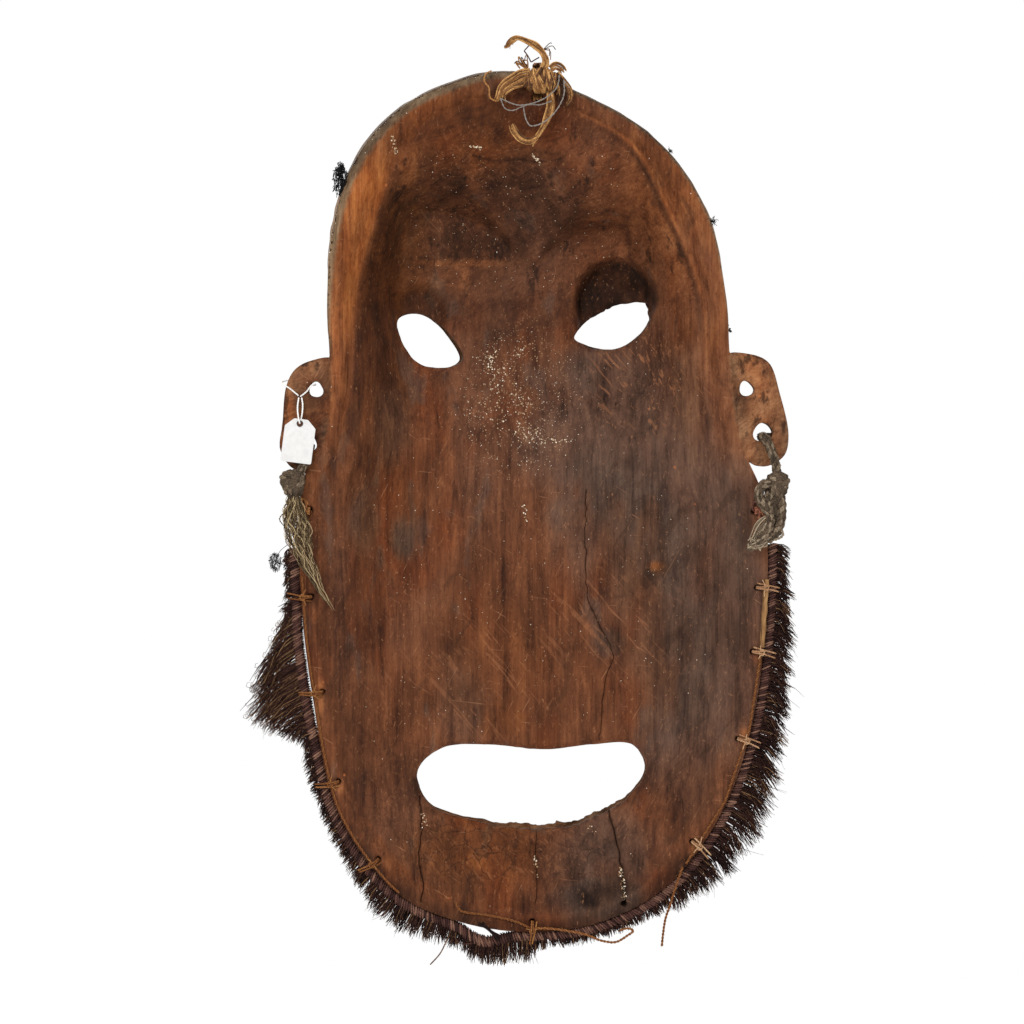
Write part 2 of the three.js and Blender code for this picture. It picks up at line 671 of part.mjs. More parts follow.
// The hanger: a bark strap through the crown, a knot behind it, and the strips' loose ends.
function addHanger() {
  const x = CROWN_HOLE.x;
  const across = v(1, 0, 0);
  const flat = v(0, 1, 0);
  addPart('hanger_strap', ribbon([
    v(x, -2.4, -17.5), v(x, -12, -6.5), v(x, -21.5, 3.8), v(x, -24.5, 9.2), v(x, -20, 12),
    v(x, -10, 12.2), v(x, -3, 11.4), v(x, 2, 8.8),
  ], 3, 0.9, across, 14), COLOURS.bark);
  addPart('hanger_knot', lump([-6, 5.2, -3], [13, 6, 10]), COLOURS.bark);
  const strips = {
    hanger_left_loop: [[9.5, 3, -1], [19, 3.4, -3], [27, 2.6, -8], [30, 2.4, -13], [33.5, 2, -17.5]],
    hanger_right_strand: [[-17, 4, 9], [-23, 3.6, 3], [-27.5, 3.2, -8], [-25, 3, -20]],
    hanger_upper_tail: [[-8, 6, 9], [-7.5, 6, 22], [2, 6.5, 28.5], [12, 7, 31], [18, 7, 27]],
    hanger_lower_tail: [[-13, 4.6, -15], [-11, 3.8, -25], [-6, 2.6, -38], [0, 1.4, -49], [4, 1, -55]],
  };
  for (const [name, points] of Object.entries(strips)) {
    addPart(name, ribbon(points.map((p) => v(...p)), 2.2, 0.6, flat.clone().cross(v(0, 0, 1)), 12),
      COLOURS.bark);
  }
  const wires = {
    hanger_string: [[31, 4.6, -12], [37, 4.6, -4], [38.5, 3, 2], [34, 2.5, 3]],
    hanger_wire_upper: [[-22.5, 8, 1], [-15, 12.4, -10], [-7, 13, -16.5], [8, 12, -22.5],
      [19, 9, -22.5], [24, 7, -18]],
    hanger_wire_lower: [[-28, 6.4, -2], [-24.5, 8, -14], [-18, 9, -27], [-10, 8.6, -34],
      [0, 7, -38.5], [5.5, 6, -35], [6.4, 6, -26]],
  };
  for (const [name, points] of Object.entries(wires)) {
    addPart(name, tube(points.map((p) => v(...p)), 0.6, { sides: 6, steps: 16 }), COLOURS.wire, 0.5);
  }
}

function addFluff() {
  addPart('fluff_tuft_crown', lump([158.5, -14, -80], [6, 5, 12], 8, 6), COLOURS.fluff, 1);
  addPart('fluff_tuft_left', lump([214, -15, -384], [4, 4, 6], 8, 6), COLOURS.fluff, 1);
}

addPart('mask_body', maskBody(), COLOURS.wood, 0.65);
addFringe();
addRimCords();
addEarRopes();
addTag();
addHanger();
addFluff();

export default mask;
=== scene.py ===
"""Looks for a tall carved wooden mask, seen from its hollow back.

The mask hangs in the row frame: +Z up the face, +Y out of the hollow back, -Y out of the face.
Lengths in this script are millimetres, in the same frame, until a mesh is made from them.
"""

import math
import random

import bpy
import numpy as np
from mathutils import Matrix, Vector
from mathutils.geometry import delaunay_2d_cdt
from mathutils.kdtree import KDTree


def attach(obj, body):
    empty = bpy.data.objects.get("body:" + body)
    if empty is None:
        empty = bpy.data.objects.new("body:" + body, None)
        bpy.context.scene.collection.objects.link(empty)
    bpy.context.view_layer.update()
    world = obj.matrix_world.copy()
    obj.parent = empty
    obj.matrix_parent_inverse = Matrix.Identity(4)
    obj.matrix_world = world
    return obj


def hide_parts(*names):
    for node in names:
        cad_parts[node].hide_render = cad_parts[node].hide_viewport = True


MM = 0.001
random.seed(11)

# ---------------------------------------------------------------- shape of the carving, as in the CAD

# Points are (x, z). A profile is a list of (z, value) stations from the top down.
OUTLINE = [
    (18, 6), (63, -2), (109, -26), (142, -66), (159, -118), (164, -183), (162, -226), (166, -285),
    (184, -322), (186, -401), (176, -494), (155, -588), (108, -652), (54, -676), (0, -683), (-56, -675),
    (-110, -645), (-153, -586), (-178, -511), (-189, -400), (-186, -336), (-168, -290), (-158, -222),
    (-155, -175), (-139, -106), (-100, -50), (-47, -16),
]
CENTRE = (0, -330)
# The rim's height y, the depth of the side and of the face's crest, and how deep the hollow is.
RIM_Y = [(10, -3), (-70, 0), (-200, 0), (-310, -8), (-700, -8)]
SIDE_DEPTH = [(10, 30), (-200, 34), (-330, 22), (-700, 16)]
CREST_DEPTH = [
    (10, 46), (-90, 92), (-170, 104), (-225, 88), (-320, 72), (-450, 63), (-560, 66), (-630, 56),
    (-690, 32),
]
HOLLOW_DEPTH = [
    (10, 36), (-80, 62), (-150, 72), (-220, 56), (-300, 38), (-430, 31), (-560, 33), (-640, 27),
    (-690, 20),
]
# How far in the hollow's wall ends, at the sides and at the crown, then its bevel and its flat land.
WALL_RUN = [(10, 58), (-200, 62), (-330, 78), (-700, 84)]
CROWN_RUN = 150
BEVEL_WIDTH = [(10, 14), (-110, 16), (-180, 9), (-290, 5), (-700, 7)]
BEVEL_DEPTH = [(10, 8), (-180, 11), (-290, 4), (-700, 3)]
LAND_WIDTH = [(10, 7), (-260, 7), (-330, 9), (-700, 9)]
# Least thickness of the wood, the most that its back edge is rounded off, and a height for no surface.
THINNEST = 7
EDGE_DROP = 9
FAR_BELOW = -1e5
NOSE = {"top": -215, "tip": -405, "base": -440, "height": 34, "half_width": 24}
NOSTRIL = {"at": (13, -421), "depth": 9}
WING = {"at": (24, -408), "height": 7, "size": 11}
BROW = {"z": -160, "height": 12, "half_width": 110, "half_height": 22}

LEFT_EYE = [
    (108, -189), (93, -184), (76, -192), (63, -205), (55, -222), (68, -229), (90, -226), (103, -211),
]
RIGHT_EYE = [
    (-36, -205), (-50, -188), (-72, -177), (-95, -176), (-97, -191), (-85, -206), (-66, -214),
    (-48, -211),
]
MOUTH = [
    (92, -556), (72, -537), (35, -534.5), (-10, -538.5), (-50, -534.5), (-82, -535), (-93, -555),
    (-75, -580), (-40, -598), (0, -603), (45, -596), (82, -583),
]
EAR_BACK, EAR_FRONT = -8, -22
LEFT_EAR = [
    (158, -224), (178, -225), (190, -232), (197, -246), (200, -276), (202, -294), (195, -308),
    (187, -313), (179, -314), (168, -311), (158, -302),
]
RIGHT_EAR = [
    (-154, -221), (-174, -219), (-190, -226), (-199, -251), (-206, -284), (-203, -300), (-192, -308),
    (-181, -309), (-170, -303), (-160, -300),
]
EAR_HOLES = [(173, -248, 6.0), (178.4, -290.6, 6.0), (-172, -247, 6.0), (-185, -282, 7.5)]
CROWN_HOLE = (-4, -14, 4.2)
CHIN_HOLE = (-73.6, -660.5, 2.3)

# Drying cracks: points, half width and depth.
CRACKS = [
    ([(90, -576), (89, -600), (91, -625), (88, -646), (90, -658)], 0.55, 4.0),
    ([(-4, -602), (-3, -625), (-4, -648), (-2, -660)], 0.35, 2.0),
    ([(-62, -586), (-67, -606), (-71, -625), (-73, -640), (-74, -660)], 0.9, 5.0),
    ([(48, -60), (30, -64), (8, -63), (-10, -65), (-22, -63)], 0.4, 0.9),
    ([(92, -139), (60, -141), (36, -140), (12, -143)], 0.35, 0.6),
    ([(-44, -330), (-46, -416), (-54, -436), (-66, -462), (-60, -480), (-58, -496), (-55, -531)],
     0.4, 2.5),
]

# Holes through the back land that take the lashings, and the larger ones for the bark ties.
LASHINGS = [
    (186, -414), (178, -491), (165, -564), (127, -627), (0, -682), (-189, -407), (-187, -459),
    (-176, -531), (-136, -616),
]
BARK_TIES = [(186, -344), (-187, -344)]
TIE_INSET = 8.5


def spline(points, closed=False, per_segment=24):
    """Centripetal Catmull-Rom curve through the points."""
    points = np.array(points, float)
    if closed:
        padded = np.vstack([points[-1], points, points[:2]])
        last = points[0]
    else:
        padded = np.vstack([2 * points[0] - points[1], points, 2 * points[-1] - points[-2]])
        last = points[-1]
    t = np.linspace(0, 1, per_segment, endpoint=False)[:, None]
    pieces = []
    for i in range(len(padded) - 3):
        a, b, c, d = padded[i : i + 4]
        gaps = (np.linalg.norm(q - p) for p, q in ((a, b), (b, c), (c, d)))
        before, here, after = (max(gap, 1e-6) ** 0.5 for gap in gaps)
        start = ((b - a) / before - (c - a) / (before + here) + (c - b) / here) * here
        end = ((c - b) / here - (d - b) / (here + after) + (d - c) / after) * here
        square = -3 * b + 3 * c - 2 * start - end
        cube = 2 * b - 2 * c + start + end
        pieces.append(b + start * t + square * t**2 + cube * t**3)
    return np.vstack(pieces + [last])


def distances_along(line):
    """Each point's distance from the line's start."""
    return np.concatenate([[0], np.cumsum(np.linalg.norm(np.diff(line, axis=0), axis=1))])


def resample(line, step):
    """The line with points an even step apart."""
    line = np.array(line, float)
    along = distances_along(line)
    count = max(2, int(round(along[-1] / step)) + 1)
    wanted = np.linspace(0, along[-1], count)
    return np.stack([np.interp(wanted, along, line[:, k]) for k in range(line.shape[1])], axis=1)


def smoothstep(low, high, value):
    t = np.clip((value - low) / (high - low), 0, 1)
    return t * t * (3 - 2 * t)


def profile(stations, z):
    """A value that changes smoothly between [height, value] stations."""
    heights = np.array([s[0] for s in stations], float)[::-1]
    values = np.array([s[1] for s in stations], float)[::-1]
    z = np.asarray(z, float)
    i = np.clip(np.searchsorted(heights, z) - 1, 0, len(heights) - 2)
    t = np.clip((z - heights[i]) / (heights[i + 1] - heights[i]), 0, 1)
    return values[i] + (values[i + 1] - values[i]) * t * t * (3 - 2 * t)


def wander(x, z, size, seed=0.0):
    """Smooth noise from -1 to 1 with bumps about size mm across; size may be (across, up)."""
    across, up = size if isinstance(size, tuple) else (size, size)
    gx, gz = np.asarray(x, float) / across + seed * 3.7, np.asarray(z, float) / up - seed * 5.3
    ix, iz = np.floor(gx), np.floor(gz)
    fx, fz = gx - ix, gz - iz
    fx, fz = fx * fx * (3 - 2 * fx), fz * fz * (3 - 2 * fz)

    def corner(a, b):
        h = np.sin(a * 127.1 + b * 311.7 + seed * 74.7) * 43758.5453
        return 2 * (h - np.floor(h)) - 1

    low = corner(ix, iz) * (1 - fx) + corner(ix + 1, iz) * fx
    high = corner(ix, iz + 1) * (1 - fx) + corner(ix + 1, iz + 1) * fx
    return low * (1 - fz) + high * fz


def inside(loop, x, z):
    """Which points lie inside a closed loop."""
    x, z = np.asarray(x, float), np.asarray(z, float)
    result = np.zeros(x.shape, bool)
    ends = np.roll(loop, -1, axis=0)
    for (x0, z0), (x1, z1) in zip(loop, ends):
        if z0 == z1:
            continue
        crosses = (z0 > z) != (z1 > z)
        result ^= crosses & (x < (x1 - x0) * (z - z0) / (z1 - z0) + x0)
    return result


class Nearest:
    """Distance in the XZ plane to the nearest of a set of points."""

    def __init__(self, points):
        self.tree = KDTree(len(points))
        for i, (x, z) in enumerate(points):
            self.tree.insert((x, z, 0), i)
        self.tree.balance()

    def distance(self, x, z):
        return np.array([self.tree.find((a, b, 0))[2] for a, b in zip(x, z)])

    def index(self, x, z):
        return self.tree.find((x, z, 0))[1]


outline_line = spline(OUTLINE, closed=True)
outline_along = distances_along(outline_line)
outline_loop = resample(outline_line, 2.0)[:-1]
outline_fine = resample(outline_line, 0.5)[:-1]
near_outline = Nearest(outline_fine)


def outline_point(distance):
    """Point on the outline that distance along it."""
    return np.array([np.interp(distance, outline_along, outline_line[:, k]) for k in (0, 1)])


def rim_point(u, offset=0.0):
    """Point on the outline at share u of its length, moved outwards by offset."""
    length = outline_along[-1]
    at = (u % 1) * length
    tangent = outline_point((at + 1) % length) - outline_point((at - 1) % length)
    tangent /= np.linalg.norm(tangent)
    outward = np.array([-tangent[1], tangent[0]])
    return outline_point(at) + outward * offset, outward


def nearest_u(x, z):
    """Share of the outline's length at its point nearest to (x, z)."""
    return near_outline.index(x, z) / len(outline_fine)


def back_inset(x, z):
    """How far in from the outline the flat back land starts; wide where the outer wall leans in."""
    return 1.5 + smoothstep(-300, -60, z) * (1.5 + 6 * smoothstep(-70, 70, x))


# ---------------------------------------------------------------- the wood's surfaces

ear_loops = [resample(spline(ear, closed=True), 1.5)[:-1] for ear in (LEFT_EAR, RIGHT_EAR)]
near_ears = [Nearest(resample(spline(ear, closed=True), 0.5)) for ear in (LEFT_EAR, RIGHT_EAR)]


def rough_edge(loop):
    """A hacked edge, roughest along the bottom of the mouth and the right eye's top."""
    x, z = loop.T
    share = 0.25 + 1.7 * smoothstep(-565, -590, z) * smoothstep(60, -10, x) + 0.8 * (z > -190) * (x < 0)
    middle = loop.mean(axis=0)
    away = (loop - middle) / np.linalg.norm(loop - middle, axis=1)[:, None]
    return loop + away * (share * (0.7 * wander(x, z, 6, 41) + 0.6 * wander(x, z, 2.6, 42)))[:, None]


def towards_face(loop):
    """An opening's edge on the face side, which hides part of its lower or nose-side wall."""
    x, z = loop.T
    moved = loop.copy()
    share = 1.0 + 1.3 * smoothstep(50, 10, x)
    moved[:, 1] += share * smoothstep(-565, -592, z) + 1.1 * wander(x, z, (8, 30), 43) * (z < -570)
    moved[:, 0] += 2.6 * smoothstep(84, 62, x) * (x > 40) * (z > -300)
    return moved


opening_loops = [
    rough_edge(resample(spline(hole, closed=True), 1.8)[:-1]) for hole in (LEFT_EYE, RIGHT_EYE, MOUTH)
]


def ring(x, z, radius, wobble=0.12):
    """A small hand-cut hole's edge."""
    count = max(16, int(radius * 4))
    turns = np.linspace(0, 2 * math.pi, count, endpoint=False)
    r = radius * (1 + wobble * np.sin(turns * 3 + x) * 0.6 + wobble * np.cos(turns * 2 + z) * 0.5)
    return np.stack([x + r * np.cos(turns), z + r * np.sin(turns)], axis=1)


ear_hole_loops = [ring(*hole) for hole in EAR_HOLES]
hole_loops = opening_loops + ear_hole_loops
near_openings = Nearest(np.vstack(opening_loops))
near_small_holes = Nearest(np.vstack(ear_hole_loops))


def jagged(line):
    """A crack's line that steps from fibre to fibre."""
    x, z = line.T
    steps = wander(x, z, (60, 5), 61) + 0.5 * wander(x, z, (60, 2.2), 62)
    return line + np.stack([steps, 0 * z], axis=1) * 0.8


crack_lines = [(jagged(resample(spline(points), 1.2)), half, depth) for points, half, depth in CRACKS]
near_cracks = [(Nearest(resample(line, 0.4)), half, depth) for line, half, depth in crack_lines]


def joined_outline():
    """The outline with the ears' outer edges in place of the stretches that they hide."""
    loop = list(map(tuple, outline_loop))
    for ear, backwards in ((ear_loops[0], False), (ear_loops[1], True)):
        hidden = inside(ear, *np.array(loop).T)
        outer = [tuple(p) for p in ear if not inside(outline_loop, *p)]
        gaps = [math.dist(outer[i], outer[i - 1]) for i in range(len(outer))]
        turn = int(np.argmax(gaps))
        outer = outer[turn:] + outer[:turn]
        if backwards:
            outer.reverse()
        first = int(np.argmax(hidden))
        kept = [p for p, h in zip(loop, hidden) if not h]
        loop = kept[:first] + outer + kept[first:]
    closed = np.array(loop + loop[:1])
    return resample(closed, 2.0)[:-1]


wood_loop = joined_outline()
turns_round = np.arctan2(outline_fine[:, 1] - CENTRE[1], outline_fine[:, 0] - CENTRE[0])
reach_order = np.argsort(turns_round)
reach_turns = turns_round[reach_order]
reach_lengths = np.hypot(outline_fine[:, 0] - CENTRE[0], outline_fine[:, 1] - CENTRE[1])[reach_order]

# Long shallow scoops left by the adze. They are SCOOP_SQUASH times as wide as they are tall.
SCOOP_SQUASH = 0.45
scoops = [
    (x + random.uniform(-9, 9), z + random.uniform(-20, 20))
    for x in range(-220, 221, 26)
    for z in range(-720, 41, 52)
]
near_scoops = Nearest([(x, z * SCOOP_SQUASH) for x, z in scoops])

tie_pits = [
    (*rim_point(nearest_u(*at), -TIE_INSET)[0], radius)
    for places, radius in ((LASHINGS, 2.1), (BARK_TIES, 3.0))
    for at in places
]
tie_pits += [CROWN_HOLE, CHIN_HOLE]


def signed_inset(x, z):
    """Distance in from the outline; negative outside."""
    distance = near_outline.distance(x, z)
    return np.where(inside(outline_fine[::2], x, z), distance, -distance)


def ear_surface(x, z, level, side):
    """Back (side 1) or front (side -1) of the ear lugs with a rounded edge; far away elsewhere."""
    result = np.full(x.shape, 10 * FAR_BELOW * side, float)
    for loop, near in zip(ear_loops, near_ears):
        close = np.abs(x - loop[:, 0].mean()) < 60
        close &= np.abs(z - loop[:, 1].mean()) < 60
        index = np.nonzero(close)[0]
        edge = near.distance(x[index], z[index])
        within = inside(loop, x[index], z[index])
        drop = 3.4 * (1 - np.clip(edge / 4.5, 0, 1)) ** 2
        drop = drop + 0.9 * wander(x[index], z[index], 11, 4) * (edge > 1)
        value = level - side * drop
        # The lug starts a little inside the carving's side, so only its outer part has a rounded edge.
        value = np.where(within | (edge < 0.6), value, 10 * FAR_BELOW * side)
        result[index] = value
    return result


def with_ears(y, x, z, level, side):
    """The back (side 1) or front (side -1) with its ear lugs joined on."""
    ear = ear_surface(x, z, level, side)
    outside = signed_inset(x, z) < -1
    joined = side * np.maximum(side * y, side * ear)
    return np.where(side * ear < FAR_BELOW, y, np.where(outside, ear, joined))


def crown_share(x, z):
    """1 towards the crown, where the bowl rises gently to its edge, and 0 at the sides."""
    return smoothstep(0.35, 1.05, np.arctan2(z + 150, np.abs(x)))


def wall_run(x, z):
    """How far in from the outline the wall of the hollow ends."""
    crown = crown_share(x, z)
    side = profile(WALL_RUN, z) + 9 * smoothstep(20, -60, x) * smoothstep(-330, -200, z)
    return side * (1 - crown) + CROWN_RUN * crown


def bevel_end(x, z):
    """How far in from the outline the bevel ends."""
    width = profile(BEVEL_WIDTH, z) * (1 - 0.75 * crown_share(x, z))
    return back_inset(x, z) + profile(LAND_WIDTH, z) + width


def hole_lip(x, z):
    """How far the surface falls away next to a hole's worn edge."""
    far = near_openings.distance(x, z)
    near = near_small_holes.distance(x, z)
    return 2.6 * (1 - np.clip(far / 5, 0, 1)) ** 2 + 1.3 * (1 - np.clip(near / 3, 0, 1)) ** 2


def crack_drop(x, z):
    """How deep the surface drops in the drying cracks."""
    drop = np.zeros(x.shape)
    for near, half, depth in near_cracks:
        drop = np.maximum(drop, depth * np.clip(1.15 - near.distance(x, z) / half, 0, 1))
    return drop


def pit_drop(x, z):
    """Small dark holes for the ties, blind here because their far ends are out of sight."""
    drop = np.zeros(x.shape)
    for px, pz, radius in tie_pits:
        drop = np.maximum(drop, 6 * smoothstep(1.25, 0.6, np.hypot(x - px, z - pz) / radius))
    return drop


def socket_depth(x, z):
    """Deeper hollows cut above the eyes, with a sharp upper edge."""
    right = smoothstep(1.0, 0.76, np.hypot((x + 71) / (36 + 0.12 * (z + 190)), (z + 184) / 47))
    right = right * smoothstep(-7, 3, 0.567 * (x + 97) + 0.824 * (z + 180))
    left = smoothstep(1.0, 0.5, np.hypot((x - 90) / 27, (z + 184) / 27))
    return 19 * right + 9 * left


def edge_rounding(inset, edge):
    """How far the back falls away towards the outline, within edge of it."""
    out = 1 - np.clip(inset / edge, 0, 1)
    return np.minimum(EDGE_DROP, 1.1 * edge) * (1 - np.sqrt(np.clip(1 - out**2, 0, 1)))


def back_surface(x, z):
    """Height y of the hollow back: rounded edge, flat land, bevel, wall, then the scooped floor."""
    inset = np.clip(signed_inset(x, z), 0, None)
    rim = profile(RIM_Y, z)
    edge = back_inset(x, z)
    land = edge + profile(LAND_WIDTH, z)
    bevel = bevel_end(x, z)
    bevel_depth = profile(BEVEL_DEPTH, z) * (1 - 0.6 * crown_share(x, z))
    hollow = profile(HOLLOW_DEPTH, z)
    slope = np.clip((inset - land) / (bevel - land), 0, 1)
    floor = bevel_depth - rim
    deep = floor + (hollow - floor) * smoothstep(0, 1, (inset - bevel) / (wall_run(x, z) - bevel))
    y = np.where(inset < bevel, rim - edge_rounding(inset, edge) - bevel_depth * slope, -deep)
    into = smoothstep(10, 40, inset)
    scoop = near_scoops.distance(x, z * SCOOP_SQUASH)
    y = y - into * socket_depth(x, z) + (0.3 + 0.7 * into) * 0.0042 * scoop**2
    waves = 1.6 * wander(x, z, 46, 1) + 0.22 * wander(x, z, (4, 60), 2)
    y = y + into * waves + 0.16 * wander(x, z, 7, 3)
    y = np.where(inset > 8, np.maximum(y, face_shape(x, z) + THINNEST), y)
    y = with_ears(y, x, z, EAR_BACK, 1)
    return y - hole_lip(x, z) - crack_drop(x, z) - pit_drop(x, z)


def pair_distance(x, z, aside, height, squash=1.0):
    """Distance to the nearer of two points at each side of the middle."""
    up = (z - height) * squash
    return np.minimum(np.hypot(x - aside, up), np.hypot(x + aside, up))


def face_shape(x, z):
    """Height y of the carved front: a dome with a brow, a nose and a raised edge round each opening."""
    dx, dz = x - CENTRE[0], z - CENTRE[1]
    reach = np.interp(np.arctan2(dz, dx), reach_turns, reach_lengths, period=2 * math.pi)
    t = np.clip(np.hypot(dx, dz) / reach, 0, 1)
    side = profile(SIDE_DEPTH, z) - profile(RIM_Y, z)
    dome = (1 - t**2.6) ** 0.75
    down = np.clip((NOSE["top"] - z) / (NOSE["top"] - NOSE["tip"]), 0, 1)
    width = NOSE["half_width"] * (0.5 + 0.5 * down)
    nose = NOSE["height"] * down * smoothstep(NOSE["base"], NOSE["tip"], z) * np.exp(-((x / width) ** 2))
    brow = BROW["height"] * np.exp(-((x / BROW["half_width"]) ** 4))
    brow = brow * np.exp(-(((z - BROW["z"]) / BROW["half_height"]) ** 2))
    depth = side + (profile(CREST_DEPTH, z) - side) * dome + nose + brow * dome
    around = near_openings.distance(x, z)
    depth = depth + (4.5 + 1.5 * (z < -480)) * np.exp(-(((around - 9) / 5) ** 2)) * dome
    depth = depth - NOSTRIL["depth"] * smoothstep(9, 2, pair_distance(x, z, *NOSTRIL["at"]))
    wing = pair_distance(x, z, *WING["at"], 0.8) / WING["size"]
    depth = depth + WING["height"] * np.exp(-(wing**2))
    return -depth


def face_surface(x, z):
    """Height y of the front, with its tool marks, ears and holes."""
    scoop = near_scoops.distance(x, z * SCOOP_SQUASH)
    y = face_shape(x, z) + 0.3 * wander(x, z, 18, 5) - 0.0016 * scoop**2
    return with_ears(y, x, z, EAR_FRONT, -1) + 0.7 * hole_lip(x, z)


def lattice(spacing, keep_off):
    """Slightly uneven triangular grid of points inside the wood, clear of its edges and holes."""
    rows = []
    z = -700.0
    odd = 0
    while z < 20:
        xs = np.arange(-215, 216, spacing) + odd * spacing / 2
        rows.append(np.stack([xs, np.full(xs.shape, z)], axis=1))
        z += spacing * 0.866
        odd = 1 - odd
    points = np.vstack(rows)
    shift = spacing * 0.18
    points[:, 0] += shift * wander(points[:, 0], points[:, 1], 1.7, 8)
    points[:, 1] += shift * wander(points[:, 0], points[:, 1], 1.9, 9)
    keep = inside(wood_loop, *points.T)
    for hole in hole_loops:
        keep &= ~inside(hole, *points.T)
    points = points[keep]
    gap = Nearest(keep_off).distance(*points.T)
    return points[gap > spacing * 0.55]


def inner_ring(offset_of):
    """A line a varying distance in from the outline, to hold a crisp carved edge."""
    line = []
    for u in np.linspace(0, 1, 800, endpoint=False):
        (x, z), _ = rim_point(u)
        line.append(rim_point(u, -float(offset_of(x, z)))[0])
    return resample(np.array(line + line[:1]), 2.2)


def triangulate(loops, lines, points):
    """Delaunay triangles over the wood, with the loops as its edges.

    Returns the points, the triangles and each loop's point numbers.
    """
    coords = []
    edges = []
    starts = []
    for loop in loops:
        start = len(coords)
        starts.append((start, len(loop)))
        coords += [tuple(p) for p in loop]
        edges += [(start + i, start + (i + 1) % len(loop)) for i in range(len(loop))]
    for line in lines:
        start = len(coords)
        coords += [tuple(p) for p in line]
        edges += [(start + i, start + i + 1) for i in range(len(line) - 1)]
    coords += [tuple(p) for p in points]
    coords = [Vector(c) for c in coords]
    verts, _, faces, origins, _, _ = delaunay_2d_cdt(coords, edges, [], 0, 1e-4, True)
    flat = np.array([tuple(v) for v in verts])
    faces = np.array([f[:] for f in faces])
    middle = flat[faces].mean(axis=1)
    keep = inside(loops[0], *middle.T)
    for loop in loops[1:]:
        keep &= ~inside(loop, *middle.T)
    where = {old: new for new, olds in enumerate(origins) for old in olds}
    loop_indices = [[where[start + i] for i in range(count)] for start, count in starts]
    return flat, faces[keep], loop_indices


WALL_ROWS = 7
BACK, FACE, OUTER_WALL, HOLE_WALL = range(4)


def back_triangles():
    """The back's triangles, with its carved edges, cracks and tie holes kept crisp."""
    loops = [wood_loop] + hole_loops
    edges = [
        inner_ring(back_inset),
        inner_ring(lambda x, z: back_inset(x, z) + profile(LAND_WIDTH, z)),
        inner_ring(bevel_end),
    ]
    edges = [line[~inside(ear_loops[0], *line.T) & ~inside(ear_loops[1], *line.T)] for line in edges]
    lines = []
    for line, half, _ in crack_lines:
        lines += [line, line + (half * 1.15, 0), line - (half * 1.15, 0)]
    for x, z, radius in tie_pits:
        lines += [ring(x, z, radius * 1.3), ring(x, z, radius * 0.6), np.array([[x, z], [x + 0.3, z]])]
    grid = lattice(2.3, np.vstack(loops + lines + edges))
    return triangulate(loops, lines, np.vstack(edges + [grid]))


def face_triangles():
    """The front's triangles. Its openings are moved a little, which slants their walls."""
    loops = [wood_loop] + [towards_face(loop) for loop in opening_loops] + ear_hole_loops
    return triangulate(loops, [], lattice(3.2, np.vstack(loops)))


def wall_point(verts, top, bottom, i, row, number):
    """Point in a wall between its back edge, top, and its face edge, bottom. Wall 0 is the outer one."""
    share = row / WALL_ROWS
    p = Vector(verts[top[i]]).lerp(Vector(verts[bottom[i]]), share)
    bulge = 2.2 * float(smoothstep(-190, -110, p.z)) if number == 0 else 0
    nudge = (bulge + 0.5 * float(wander(i * 2.0, p.y, 9, 20 + number))) * math.sin(math.pi * share)
    along = (Vector(verts[top[(i + 1) % len(top)]]) - Vector(verts[top[i - 1]])).normalized()
    return tuple(p + Vector((-along.z, 0, along.x)) * nudge)


def wood_mesh():
    """Points, faces and which surface each point is on: BACK, FACE, OUTER_WALL or HOLE_WALL."""
    verts = []
    faces = []
    sides = []
    edge_loops = []
    for (flat, triangles, loops), surface, side in (
        (back_triangles(), back_surface, BACK), (face_triangles(), face_surface, FACE),
    ):
        start = len(verts)
        y = surface(flat[:, 0], flat[:, 1])
        verts += [(x, h, z) for (x, z), h in zip(flat, y)]
        sides += [side] * len(flat)
        first, second, third = (flat[triangles[:, k]] for k in range(3))
        turns = np.cross(second - first, third - first)
        for triangle, turn in zip(triangles, turns):
            a, b, c = (int(i) + start for i in triangle)
            faces.append((a, b, c) if (turn < 0) != (side == FACE) else (a, c, b))
        edge_loops.append([[start + i for i in loop] for loop in loops])
    for number, (top, bottom) in enumerate(zip(*edge_loops)):
        count = len(top)
        rows = [top]
        for row in range(1, WALL_ROWS):
            points = [wall_point(verts, top, bottom, i, row, number) for i in range(count)]
            rows.append(list(range(len(verts), len(verts) + count)))
            verts += points
            sides += [OUTER_WALL if number == 0 else HOLE_WALL] * count
        rows.append(bottom)
        for upper, lower in zip(rows, rows[1:]):
            for i in range(count):
                j = (i + 1) % count
                faces.append((upper[i], upper[j], lower[j], lower[i]))
    return verts, faces, sides


# ---------------------------------------------------------------- materials


def srgb(r, g, b):
    """A colour given as 0 to 255 display values."""

    def linear(c):
        c /= 255
        return c / 12.92 if c <= 0.04045 else ((c + 0.055) / 1.055) ** 2.4

    return (linear(r), linear(g), linear(b), 1.0)


